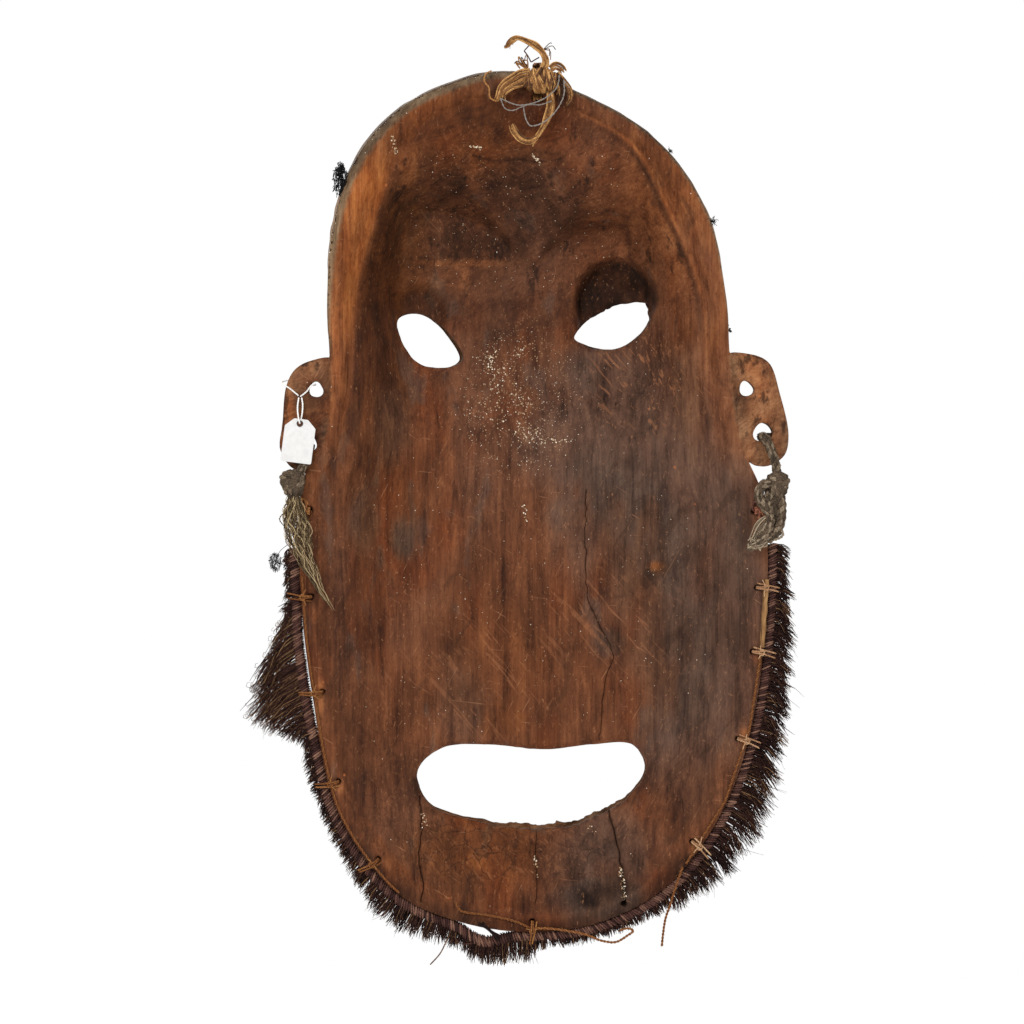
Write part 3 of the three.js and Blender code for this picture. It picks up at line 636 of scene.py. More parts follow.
class Graph:
    """One material's node tree, built a step at a time. Sockets and plain values can be mixed."""

    def __init__(self, name, roughness=0.7, specular=0.3):
        self.material = bpy.data.materials.new(name)
        self.material.use_nodes = True
        self.tree = self.material.node_tree
        self.surface = self.tree.nodes["Principled BSDF"]
        self.surface.inputs["Roughness"].default_value = roughness
        self.surface.inputs["Specular IOR Level"].default_value = specular
        self.place = self.tree.nodes.new("ShaderNodeTexCoord").outputs["Object"]

    def put(self, socket, value):
        if isinstance(value, bpy.types.NodeSocket):
            self.tree.links.new(value, socket)
        else:
            socket.default_value = value

    def mapping(self, vector, rotation=(0, 0, 0), scale=(1, 1, 1)):
        node = self.tree.nodes.new("ShaderNodeMapping")
        node.inputs["Rotation"].default_value = rotation
        node.inputs["Scale"].default_value = scale
        self.tree.links.new(vector, node.inputs["Vector"])
        return node.outputs["Vector"]

    def noise(self, scale, detail=4.0, roughness=0.55, turn=0.0, distortion=0.0):
        """Noise with a scale for each axis, in features to the metre, leaning by turn in the XZ plane."""
        leaning = self.mapping(self.place, rotation=(0, turn, 0))
        vector = self.mapping(leaning, scale=scale if isinstance(scale, tuple) else (scale,) * 3)
        node = self.tree.nodes.new("ShaderNodeTexNoise")
        self.tree.links.new(vector, node.inputs["Vector"])
        settings = {"Scale": 1.0, "Detail": detail, "Roughness": roughness, "Distortion": distortion}
        for name, value in settings.items():
            node.inputs[name].default_value = value
        return node.outputs["Fac"]

    def specks(self, scale, size, share):
        """Small scattered spots: 1 on a spot, 0 elsewhere. Only that share of the cells has one."""
        node = self.tree.nodes.new("ShaderNodeTexVoronoi")
        node.inputs["Scale"].default_value = scale
        self.tree.links.new(self.place, node.inputs["Vector"])
        separate = self.tree.nodes.new("ShaderNodeSeparateColor")
        self.tree.links.new(node.outputs["Color"], separate.inputs["Color"])
        spot = self.fade(node.outputs["Distance"], size, size * 0.55)
        return self.times(spot, self.math("LESS_THAN", separate.outputs["Red"], share))

    def checks(self, scale, width, warp_scale=60.0, warp_size=0.018):
        """A net of fine cracks, bent by noise: 1 in a crack, 0 elsewhere."""
        noise = self.tree.nodes.new("ShaderNodeTexNoise")
        noise.inputs["Scale"].default_value = warp_scale
        self.tree.links.new(self.place, noise.inputs["Vector"])
        warp = self.tree.nodes.new("ShaderNodeVectorMath")
        warp.operation = "MULTIPLY_ADD"
        self.tree.links.new(noise.outputs["Color"], warp.inputs[0])
        warp.inputs[1].default_value = (warp_size,) * 3
        self.tree.links.new(self.place, warp.inputs[2])
        node = self.tree.nodes.new("ShaderNodeTexVoronoi")
        node.feature = "DISTANCE_TO_EDGE"
        node.inputs["Scale"].default_value = 1.0
        self.tree.links.new(self.mapping(warp.outputs[0], scale=scale), node.inputs["Vector"])
        return self.fade(node.outputs["Distance"], width, width * 0.2)

    def fade(self, value, low, high, out_low=0.0, out_high=1.0):
        """out_low where value is low, out_high where it is high, and smooth between."""
        node = self.tree.nodes.new("ShaderNodeMapRange")
        node.interpolation_type = "SMOOTHSTEP"
        self.put(node.inputs["Value"], value)
        ends = {"From Min": low, "From Max": high, "To Min": out_low, "To Max": out_high}
        for name, number in ends.items():
            node.inputs[name].default_value = number
        return node.outputs["Result"]

    def math(self, operation, a, b=0.0):
        node = self.tree.nodes.new("ShaderNodeMath")
        node.operation = operation
        self.put(node.inputs[0], a)
        self.put(node.inputs[1], b)
        return node.outputs[0]

    def mix(self, share, a, b, blend="MIX"):
        """A colour part of the way from a to b."""
        node = self.tree.nodes.new("ShaderNodeMix")
        node.data_type = "RGBA"
        node.blend_type = blend
        self.put(node.inputs[0], share)
        self.put(node.inputs[6], a)
        self.put(node.inputs[7], b)
        return node.outputs[2]

    def times(self, a, b):
        return self.math("MULTIPLY", a, b)

    def tinted(self, colour, tint):
        """The colour seen through a tint."""
        return self.mix(1.0, colour, srgb(*tint), "MULTIPLY")

    def blend(self, share, a, b):
        """A plain number part of the way from a to b."""
        node = self.tree.nodes.new("ShaderNodeMix")
        self.put(node.inputs[0], share)
        self.put(node.inputs[2], a)
        self.put(node.inputs[3], b)
        return node.outputs[0]

    def ramp(self, value, *stops):
        """A colour for each value, from stops of (position, (red, green, blue))."""
        node = self.tree.nodes.new("ShaderNodeValToRGB")
        elements = node.color_ramp.elements
        while len(elements) < len(stops):
            elements.new(0.5)
        for element, (position, colour) in zip(elements, stops):
            element.position = position
            element.color = srgb(*colour)
        self.put(node.inputs["Fac"], value)
        return node.outputs["Color"]

    def attribute(self, name):
        node = self.tree.nodes.new("ShaderNodeAttribute")
        node.attribute_name = name
        return node.outputs["Fac"]

    def bump(self, height, distance, strength=1.0):
        node = self.tree.nodes.new("ShaderNodeBump")
        self.put(node.inputs["Height"], height)
        node.inputs["Distance"].default_value = distance
        node.inputs["Strength"].default_value = strength
        self.tree.links.new(node.outputs["Normal"], self.surface.inputs["Normal"])

    def colour(self, value):
        self.put(self.surface.inputs["Base Color"], value)
        return self.material


def wood_grain(g, forehead, mottle):
    """The grain: upright streaks, swirling on the forehead, with finer streaks and mottling over them."""
    upright = g.noise((120, 120, 9), detail=5, roughness=0.6, distortion=0.9)
    swirl = g.noise((40, 40, 100), detail=6, roughness=0.68, turn=-0.4, distortion=1.6)
    coarse = g.blend(forehead, upright, swirl)
    fine_upright = g.noise((560, 560, 16), detail=4, roughness=0.62)
    fine = g.blend(forehead, fine_upright, g.noise((260, 260, 700), detail=4, roughness=0.62, turn=-0.6))
    grain = g.math("ADD", g.times(coarse, 0.42), g.times(fine, 0.24))
    return g.math("ADD", grain, g.times(mottle, 0.34))


def wood_areas(g, grain):
    """The wood's colour from area to area: plain, cool, tanned, stained, pale where rubbed and where a
    highlight is painted, warm or weathered.
    """
    blotch = g.noise((16, 16, 8), detail=3, roughness=0.5)
    plain = g.ramp(
        grain, (0.34, (40, 19, 9)), (0.45, (76, 42, 24)), (0.54, (94, 54, 32)), (0.66, (116, 70, 42))
    )
    cool = g.ramp(grain, (0.34, (36, 25, 21)), (0.5, (78, 59, 49)), (0.66, (98, 77, 64)))
    rubbed_and_lit = g.ramp(grain, (0.34, (72, 34, 15)), (0.48, (132, 76, 42)), (0.66, (176, 118, 74)))
    outer = g.ramp(grain, (0.34, (58, 46, 34)), (0.5, (114, 91, 67)), (0.66, (150, 127, 99)))
    cool_share = g.times(g.attribute("cool"), g.fade(blotch, 0.34, 0.56, 0.7, 1.0))
    colour = g.mix(cool_share, plain, cool)
    colour = g.mix(g.fade(blotch, 0.5, 0.66, 0.0, 0.6), colour, g.tinted(colour, (255, 206, 150)))
    stain = g.fade(g.noise((44, 44, 15), detail=3, roughness=0.55), 0.58, 0.68, 0.0, 0.5)
    colour = g.mix(stain, colour, cool)
    # Pale colour where rubbed, and painted highlights on the hollow's right wall, the right crown's bevel
    # edge and the face's raised parts.
    colour = g.mix(g.attribute("rubbing_and_highlight"), colour, rubbed_and_lit)
    colour = g.mix(g.attribute("warm"), colour, g.tinted(colour, (255, 238, 196)))
    return g.mix(g.attribute("outer"), colour, outer)


def wood_scratches(g, colour):
    """Drying checks, tool strokes and three directions of fine scratches."""
    checks = g.times(g.checks((46, 46, 70), 0.035), g.attribute("checks"))
    colour = g.mix(g.times(checks, 0.6), colour, srgb(30, 16, 9))
    strokes = g.noise((280, 280, 24), detail=3, roughness=0.5, turn=-0.7, distortion=0.8)
    stroke_share = g.times(g.fade(strokes, 0.58, 0.66, 0.0, 0.55), g.attribute("strokes"))
    colour = g.mix(stroke_share, colour, srgb(150, 98, 66))
    for turn, low in ((0.5, 0.68), (-1.0, 0.69), (-1.45, 0.7)):
        scratch = g.noise((700, 700, 26), detail=2, roughness=0.5, turn=turn, distortion=0.3)
        colour = g.mix(g.fade(scratch, low, low + 0.07, 0.0, 0.3), colour, srgb(160, 112, 80))
    return colour


def wood_dirt_and_shade(g, colour, forehead, mottle):
    """Smears, the dark attribute's stains and painted shade, soot on the forehead, dust, spots and
    flecks.
    """
    smear = g.noise((30, 30, 13), detail=5, roughness=0.66, turn=0.4, distortion=1.2)
    smear = g.fade(smear, 0.54, 0.66, 0.0, 0.46)
    colour = g.mix(smear, colour, srgb(46, 28, 19))
    # The dark attribute: stains and painted shade from wood_dark.
    dark = g.times(g.attribute("dark"), g.fade(mottle, 0.3, 0.7, 1.08, 0.72))
    colour = g.mix(dark, colour, srgb(22, 11, 6))
    soot = g.fade(g.noise((60, 60, 26), detail=5, roughness=0.7), 0.56, 0.66, 0.0, 0.75)
    colour = g.mix(g.times(soot, forehead), colour, srgb(24, 14, 9))
    pale_dust = g.times(g.specks(520, 0.34, 0.3), g.attribute("dust"))
    colour = g.mix(pale_dust, colour, srgb(176, 146, 112))
    colour = g.mix(g.times(g.specks(150, 0.07, 0.1), 0.85), colour, srgb(214, 200, 180))
    colour = g.mix(g.times(g.specks(60, 0.1, 0.08), 0.55), colour, srgb(160, 92, 50))
    flecks = g.noise((520, 520, 230), detail=4, roughness=0.72, distortion=0.6)
    colour = g.mix(g.fade(flecks, 0.56, 0.64, 0.0, 0.42), colour, g.tinted(colour, (150, 132, 120)))
    return g.mix(g.fade(flecks, 0.4, 0.31, 0.0, 0.3), colour, srgb(168, 118, 82))


def wood_material():
    """Dark oiled wood; the shine goes from the walls of its holes."""
    g = Graph("carved_wood", roughness=0.7)
    g.put(g.surface.inputs["Specular IOR Level"], g.fade(g.attribute("wall"), 0.0, 1.0, 0.08, 0.0))
    forehead = g.attribute("forehead")
    mottle = g.noise((70, 70, 30), detail=4, roughness=0.65)
    grain = wood_grain(g, forehead, mottle)
    colour = wood_areas(g, grain)
    colour = wood_scratches(g, colour)
    colour = wood_dirt_and_shade(g, colour, forehead, mottle)
    pits = g.noise((1100, 1100, 120), detail=3, roughness=0.6)
    g.bump(g.math("ADD", grain, g.times(pits, 0.35)), 0.0018, 0.6)
    return g.colour(colour)


# ---------------------------------------------------------------- objects


def make_object(name, verts, faces, material, body, nodes=(), attributes=None, smooth=True):
    """An object from points in millimetres, riding on its body and standing for its CAD nodes."""
    mesh = bpy.data.meshes.new(name)
    mesh.from_pydata([(x * MM, y * MM, z * MM) for x, y, z in verts], [], faces)
    mesh.update()
    if smooth:
        mesh.polygons.foreach_set("use_smooth", [True] * len(mesh.polygons))
    for key, values in (attributes or {}).items():
        layer = mesh.attributes.new(key, "FLOAT", "POINT")
        layer.data.foreach_set("value", np.asarray(values, np.float32))
    mesh.materials.append(material)
    obj = bpy.data.objects.new(name, mesh)
    bpy.context.scene.collection.objects.link(obj)
    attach(obj, body)
    if nodes:
        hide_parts(*nodes)
    return obj


# Clusters of larger grains: middle, spread across and up, and how many.
CRUMB_CLUSTERS = [
    (34, -222, 3, 5, 30), (26, -232, 5, 4, 26), (10, -216, 4, 3, 18), (-2, -284, 8, 2.5, 40),
    (8, -280, 5, 3, 24), (6, -262, 6, 10, 40), (20, -246, 9, 9, 40), (-12, -288, 8, 2, 30),
    (-24, -290, 4, 2, 14), (44, -268, 12, 10, 26),
]
# Chalky scrapes: start, end, spread and how many grains.
PALE_SCRAPES = [
    ((112, -46), (109, -60), 0.8, 26), ((50, -53), (41, -54), 0.5, 16), ((0, -60), (-5, -64), 0.7, 20),
    ((-71.5, -632), (-74, -657), 0.9, 64), ((28, -214), (34, -230), 1.2, 20),
    ((-2, -622), (-4, -640), 0.6, 16), ((6, -340), (5, -353), 0.8, 14),
    ((88, -590), (87, -598), 1.5, 14), ((-50, -606), (-46, -590), 1.4, 14),
]
# Areas of the back: middle across and up, half width, half height and strength.
# Old stains, and painted shade in the hollow under the crown and over the forehead.
DARK_PATCHES = [
    (30, -105, 105, 62, 0.66), (0, -16, 130, 46, 0.5), (92, -50, 40, 34, 0.5), (-96, -70, 26, 34, 0.25),
    (10, -190, 60, 34, 0.54), (10, -225, 46, 40, 0.3), (74, -100, 50, 60, 0.5),
    (100, -340, 26, 40, 0.12), (128, -290, 24, 64, 0.45), (91, -569, 7, 13, 0.95),
    (-9, -662, 30, 16, 0.5), (142, -432, 26, 66, 0.45), (-132, -452, 40, 100, 0.42),
    (-60, -632, 62, 34, 0.58), (-60, -656, 46, 20, 1.1), (104, -368, 9, 16, 0.4),
    (-66, -450, 16, 14, 0.35), (167, -448, 9, 44, 0.55), (-125, -200, 12, 34, 0.3),
    (-164, -420, 24, 130, 0.36), (150, -530, 30, 90, 0.42), (-142, -570, 34, 70, 0.42),
    (40, -400, 30, 34, 0.22), (96, -500, 20, 34, 0.25), (-96, -250, 60, 60, 0.35),
    (60, -470, 20, 46, 0.3), (0, -420, 16, 60, 0.28), (10, -620, 30, 26, 0.3), (150, -520, 20, 50, 0.3),
    (-94, -401, 9, 10, 0.66), (-60, -330, 34, 60, 0.25), (100, -560, 26, 24, 0.35),
    (-104, -570, 24, 34, 0.35), (64, -640, 18, 22, 0.4), (30, -330, 30, 30, 0.1),
]
# Where the brown turns greyer.
COOL_PATCHES = [
    (-100, -330, 90, 150, 1.0), (-122, -470, 60, 130, 0.9), (-40, -290, 60, 60, 0.7),
    (-70, -240, 60, 40, 0.9), (134, -352, 14, 40, 0.7), (-56, -656, 46, 24, 1.0),
    (112, -272, 20, 40, 0.5), (-60, -620, 60, 40, 0.5), (104, -368, 12, 20, 0.9),
    (-66, -452, 20, 18, 0.9), (-30, -350, 22, 30, 0.7), (-162, -430, 40, 170, 0.85),
    (60, -500, 24, 40, 0.35), (-130, -170, 30, 60, 0.3),
]
# Where the slanting tool strokes show.
STROKE_PATCHES = [
    (-100, -242, 60, 50, 1.0), (40, -90, 110, 60, 0.45), (-60, -440, 70, 60, 0.5),
    (40, -480, 60, 70, 0.45), (20, -620, 100, 30, 0.4), (120, -470, 40, 60, 0.35),
]
# Where the brown turns redder.
WARM_PATCHES = [
    (46, -622, 70, 46, 0.9), (120, -120, 60, 110, 0.9), (60, -40, 90, 40, 0.8),
    (120, -330, 40, 120, 0.5), (30, -470, 60, 60, 0.4), (-110, -70, 50, 60, 0.5),
    (-101, -391, 10, 7, 0.9), (22, -512, 28, 24, 0.6),
]
# Where the wood has a net of fine drying cracks.
CHECKED_PATCHES = [
    (50, -620, 64, 34, 1.0), (-30, -626, 60, 30, 0.7), (110, -560, 40, 60, 0.5),
    (-90, -250, 50, 50, 0.4),
]
# Where hands and cords have rubbed the wood pale.
WORN_PATCHES = [
    (170, -494, 4, 20, 0.95), (-171, -527, 5, 9, 0.9), (-130, -618, 6, 6, 0.8), (176, -428, 5, 8, 0.5),
    (155, -566, 6, 8, 0.6), (118, -628, 7, 7, 0.5), (-180, -462, 5, 9, 0.5), (-101, -390, 9, 5, 0.4),
    (50, -143, 46, 4, 0.6), (53, -158, 6, 18, 0.55), (197, -262, 9, 40, 0.9), (184, -230, 16, 7, 0.6),
    (100, -60, 10, 26, 0.5), (-118, -66, 12, 20, 0.5), (-140, -124, 6, 26, 0.62),
    (50, -628, 16, 10, 0.35),
]


def patches(areas, x, z):
    """The strongest of several soft-edged areas at each point."""
    result = np.zeros(x.shape)
    for middle_x, middle_z, half_x, half_z, strength in areas:
        far = np.hypot((x - middle_x) / half_x, (z - middle_z) / half_z)
        far = far + 0.16 * wander(x, z, (17, 30), middle_x * 0.01)
        result = np.maximum(result, strength * smoothstep(1.15, 0.35, far))
    return result


def face_relief(x, z, reach=11):
    """How far the face stands out from the average of its surroundings, in millimetres."""
    turns = np.linspace(0, 2 * math.pi, 8, endpoint=False)
    around = sum(face_shape(x + reach * math.cos(t), z + reach * math.sin(t)) for t in turns) / len(turns)
    return around - face_shape(x, z)


class Zones:
    """Where each of the wood's points is, as the colour functions below need it."""

    def __init__(self, points, sides):
        self.x, _, self.z = points.T
        x, z = self.x, self.z
        self.sides = sides
        self.inset = signed_inset(x, z)
        self.edge = back_inset(x, z)
        self.land = self.edge + profile(LAND_WIDTH, z)
        self.bevel = bevel_end(x, z)
        self.wall = wall_run(x, z)
        self.crown = crown_share(x, z)
        self.on_back = sides == BACK
        self.ears = (self.inset < 1) & (z > -315) & (z < -215)
        self.on_face = (sides == FACE) & ~self.ears
        self.left = smoothstep(-30, 60, x)
        self.right_crown = smoothstep(-10, -60, x) * smoothstep(-230, -180, z)
        patch = 0.5 + 0.5 * wander(x, z, (9, 34), 31) + 0.35 * wander(x, z, (3.5, 16), 32)
        self.patch = np.clip(patch, 0, 1)
        self.relief = np.zeros(x.shape)
        self.relief[self.on_face] = face_relief(x[self.on_face], z[self.on_face])
        self.ear_worn = patches(WORN_PATCHES, x, z) * self.ears

    def band(self, distance, half_width):
        """1 along a line that far past the bevel's end, fading away on both sides."""
        return np.exp(-(((self.inset - self.bevel - distance) / half_width) ** 2)) * self.right_crown


def wood_rubbing_and_highlights(at):
    """Pale wood: the rubbed bevels, the rim, single rubbed places and the ear lugs, with painted light on
    the hollow's right wall and painted highlights along the right crown's bevel edge and on the face's
    raised parts.
    """
    x, z, patch = at.x, at.z, at.patch
    high = smoothstep(-330, -250, z) * (1 - 0.85 * at.crown)
    rubbing_and_highlight = smoothstep(at.bevel + 3, at.bevel - 3, at.inset) * high * (0.38 + 0.52 * at.left)
    rubbing_and_highlight = rubbing_and_highlight * (0.3 + 0.7 * patch)
    # Painted light: the hollow's right wall is made paler, as where it faces the light.
    walls = smoothstep(at.wall - 4, at.bevel, at.inset) * high * (1 - at.left) * 0.45
    walls = walls * (0.4 + 0.6 * patch)
    rubbing_and_highlight = np.maximum(rubbing_and_highlight, walls)
    # Painted highlight along the bevel's edge on the right crown, partly rubbed pale.
    rubbing_and_highlight = np.maximum(rubbing_and_highlight, 0.95 * at.band(0, 1.5) * (0.5 + 0.5 * patch))
    rubbed = smoothstep(at.land + 4, at.land - 2, at.inset) * smoothstep(-600, -560, z)
    rubbing_and_highlight = rubbing_and_highlight + rubbed * (1 - high) * 0.14 * patch
    rubbing_and_highlight = np.maximum(rubbing_and_highlight, patches(WORN_PATCHES, x, z) * (0.6 + 0.4 * patch))
    ear_wear = 0.22 + 0.3 * (x < 0) + 0.42 * wander(x, z, (15, 22), 51) - 0.15 * (x > 0) * (z > -262)
    ear_wear = np.maximum(ear_wear, at.ear_worn * (0.75 + 0.25 * patch))
    rubbing_and_highlight = np.where(at.ears, np.clip(ear_wear, 0, 1), rubbing_and_highlight)
    # On the face, the raised parts are paler: painted highlight, and some rubbing.
    return np.where(at.on_face, np.clip(at.relief / 3, 0, 0.6), rubbing_and_highlight)


def wood_outer(at):
    """The greyer, weathered colour of the carving's side."""
    x, z = at.x, at.z
    rim = smoothstep(at.edge - 1, at.edge - 4, at.inset) * smoothstep(-300, -230, z)
    outer = np.where(at.on_back, rim, 0)
    for side, share in ((OUTER_WALL, 0.85), (HOLE_WALL, 0.3), (FACE, 0.2)):
        outer = np.where(at.sides == side, share, outer)
    on_ear = np.where(x < 0, 0.3, 0.1) + 0.3 * wander(x, z, (12, 16), 52)
    return np.where(at.ears & (at.sides < OUTER_WALL), on_ear, outer)


def wood_dark(at, outer):
    """Darkening: stains and painted shade from the patches, painted shade on the left wall, inside the
    right crown's bevel edge, in the eye sockets, the tie holes, the openings' walls and the face's
    recesses; cracks and the dark low edge.
    """
    x, z = at.x, at.z
    edges = 0.75 + 0.35 * wander(x, z, (13, 24), 35) + 0.2 * wander(x, z, (5, 9), 36)
    # The patches: old stains, and painted shade under the crown and over the forehead.
    shade = patches(DARK_PATCHES, x, z) * edges
    shade = shade * smoothstep(at.land - 4, at.land + 6, at.inset + 14 * at.crown)
    # Painted shade on the hollow's left wall, which faces away from the light.
    shaded_left_wall = smoothstep(at.bevel - 1, at.bevel + 5, at.inset)
    shaded_left_wall = shaded_left_wall * smoothstep(at.wall + 6, at.wall - 10, at.inset)
    shaded_left_wall = shaded_left_wall * at.left * smoothstep(-330, -200, z) * (1 - at.crown)
    shade = np.maximum(shade, shaded_left_wall * 0.62 * edges)
    # Painted shade in a thin line just inside that bevel edge, where the wall turns away.
    shade = np.maximum(shade, 0.8 * at.band(4, 2.4) * edges)
    # Painted shade in the deep hollows above the eyes.
    sockets = np.clip(socket_depth(x, z) / 14, 0, 1)
    dark = np.maximum(shade * (at.sides != FACE), 0.93 * sockets * (at.sides != FACE))
    dark = np.maximum(dark, 0.95 * np.clip(crack_drop(x, z), 0, 1) * at.on_back)
    # Painted shade in the blind tie holes, for the dark of a deep hole.
    dark = np.maximum(dark, 0.85 * np.clip(pit_drop(x, z) / 4, 0, 1) * at.on_back)
    ear_dark = np.clip(0.1 - 0.1 * (x < 0) + 0.5 * wander(x, z, (14, 19), 53), 0, 0.45)
    dark = np.maximum(dark * (1 - at.ear_worn), at.ears * (1 - at.ear_worn) * ear_dark)
    # Painted shade on the walls of the openings and holes.
    in_hole = 0.36 + 0.26 * wander(x, z, 5, 54) + 0.26 * wander(x, z, (14, 30), 55)
    dark = np.where(at.sides == HOLE_WALL, in_hole, dark)
    weathered = (at.sides == OUTER_WALL) | (outer > 0.3) & at.on_back
    dark = np.where(weathered, 0.55 * smoothstep(-105, -45, z), dark)
    # Painted shade in the face's recesses.
    dark = np.where(at.on_face, np.clip(-at.relief / 2.2, 0, 0.75), dark)
    low_edge = smoothstep(17, 3, at.inset) * smoothstep(-590, -640, z) * 0.7 * at.on_back
    return np.clip(np.maximum(dark, low_edge), 0, 1)


def build_wood():
    """The carving, with one attribute on its points for each kind of colour."""
    verts, faces, sides = wood_mesh()
    at = Zones(np.array(verts), np.array(sides))
    x, z = at.x, at.z
    outer = wood_outer(at)
    spread = np.hypot(x - 10 + (z + 255) * 0.12, (z + 258) * 0.62)
    forehead = smoothstep(-215, -150, z) * smoothstep(at.bevel - 4, at.bevel + 8, at.inset)
    cool = 0.35 * np.clip(wander(x, z, (50, 100), 33), 0, 1) * (at.inset > 20)
    attributes = {
        "wall": at.sides == HOLE_WALL,
        "rubbing_and_highlight": wood_rubbing_and_highlights(at),
        "outer": outer,
        "cool": patches(COOL_PATCHES, x, z) + cool,
        "dark": wood_dark(at, outer),
        "dust": smoothstep(60, 14, spread) * (0.5 + 0.5 * wander(x, z, 9, 37)) * at.on_back,
        "forehead": np.maximum(forehead, at.ears),
        "strokes": patches(STROKE_PATCHES, x, z),
        "warm": patches(WARM_PATCHES, x, z) * at.on_back,
        "checks": patches(CHECKED_PATCHES, x, z) * at.on_back,
    }
    make_object("mask_wood", verts, faces, wood_material(), "mask", ["mask_body"], attributes)


# ---------------------------------------------------------------- floor, light and camera


def plain_material(name, colour, roughness):
    """One even colour, for the floor only."""
    g = Graph(name, roughness, 0.2)
    return g.colour(colour)


def area_light(name, location, target, size, power):
    """A square soft light aimed at target."""
    data = bpy.data.lights.new(name, "AREA")
    data.shape = "SQUARE"
    data.size = size
    data.energy = power
    lamp = bpy.data.objects.new(name, data)
    lamp.location = location
    lamp.rotation_euler = (Vector(target) - Vector(location)).to_track_quat("-Z", "Y").to_euler()
    bpy.context.scene.collection.objects.link(lamp)


MIDDLE = Vector((0.016, -0.02, -0.346))
FLOOR_HEIGHT = -0.86
# Each light: place, size and power.
LIGHTS = {
    "key": ((0.9, 1.9, 0.9), 0.9, 34),
    "fill": ((-1.5, 1.9, 0.1), 1.2, 10),
    "front": ((0.6, -2.2, 0.7), 1.4, 30),
}
CAMERA = {"lens": 118, "turn": 1.5, "lift": 1.0, "distance": 2.7}


def build_stage():
    """Pale floor, white surroundings, three soft lights and the camera."""
    place = (0, 0, FLOOR_HEIGHT)
    bpy.ops.mesh.primitive_circle_add(vertices=96, radius=1.0, fill_type="NGON", location=place)
    floor = bpy.context.object
    floor.name = "floor"
    floor.data.materials.append(plain_material("pale_floor", (0.9, 0.9, 0.9, 1), 0.9))
    world = bpy.data.worlds.new("studio")
    world.use_nodes = True
    world.node_tree.nodes["Background"].inputs["Color"].default_value = (1, 1, 1, 1)
    world.node_tree.nodes["Background"].inputs["Strength"].default_value = 1.0
    bpy.context.scene.world = world
    for name, (location, size, power) in LIGHTS.items():
        area_light(name, location, MIDDLE, size, power)
    camera_data = bpy.data.cameras.new("camera")
    camera_data.lens = CAMERA["lens"]
    camera_data.sensor_width = 36
    camera = bpy.data.objects.new("camera", camera_data)
    turn, lift = math.radians(CAMERA["turn"]), math.radians(CAMERA["lift"])
    camera.location = MIDDLE + CAMERA["distance"] * Vector((
        math.sin(turn) * math.cos(lift), math.cos(turn) * math.cos(lift), math.sin(lift)
    ))
    camera.rotation_euler = (MIDDLE - camera.location).to_track_quat("-Z", "Y").to_euler()
    bpy.context.scene.collection.objects.link(camera)
    bpy.context.scene.camera = camera
    bpy.context.scene.view_settings.view_transform = "Standard"


# ---------------------------------------------------------------- fibres, cords and strips


def frames_along(line, facing=None):
    """Unit tangent and two cross directions at each point. facing, if given, fixes the second one."""
    tangents = np.gradient(line, axis=0)
    tangents /= np.maximum(np.linalg.norm(tangents, axis=1), 1e-9)[:, None]
    normal = np.array(facing if facing is not None else (0.13, 1.0, 0.21), float)
    normals = []
    for tangent in tangents:
        if facing is not None:
            normal = np.array(facing, float)
        candidate = normal - tangent * normal.dot(tangent)
        size = np.linalg.norm(candidate)
        if size < 0.15:
            candidate = np.cross(tangent, (0.3, 0.2, 1.0))
            size = np.linalg.norm(candidate)
        normal = candidate / size
        normals.append(normal)
    normals = np.array(normals)
    return tangents, normals, np.cross(tangents, normals)


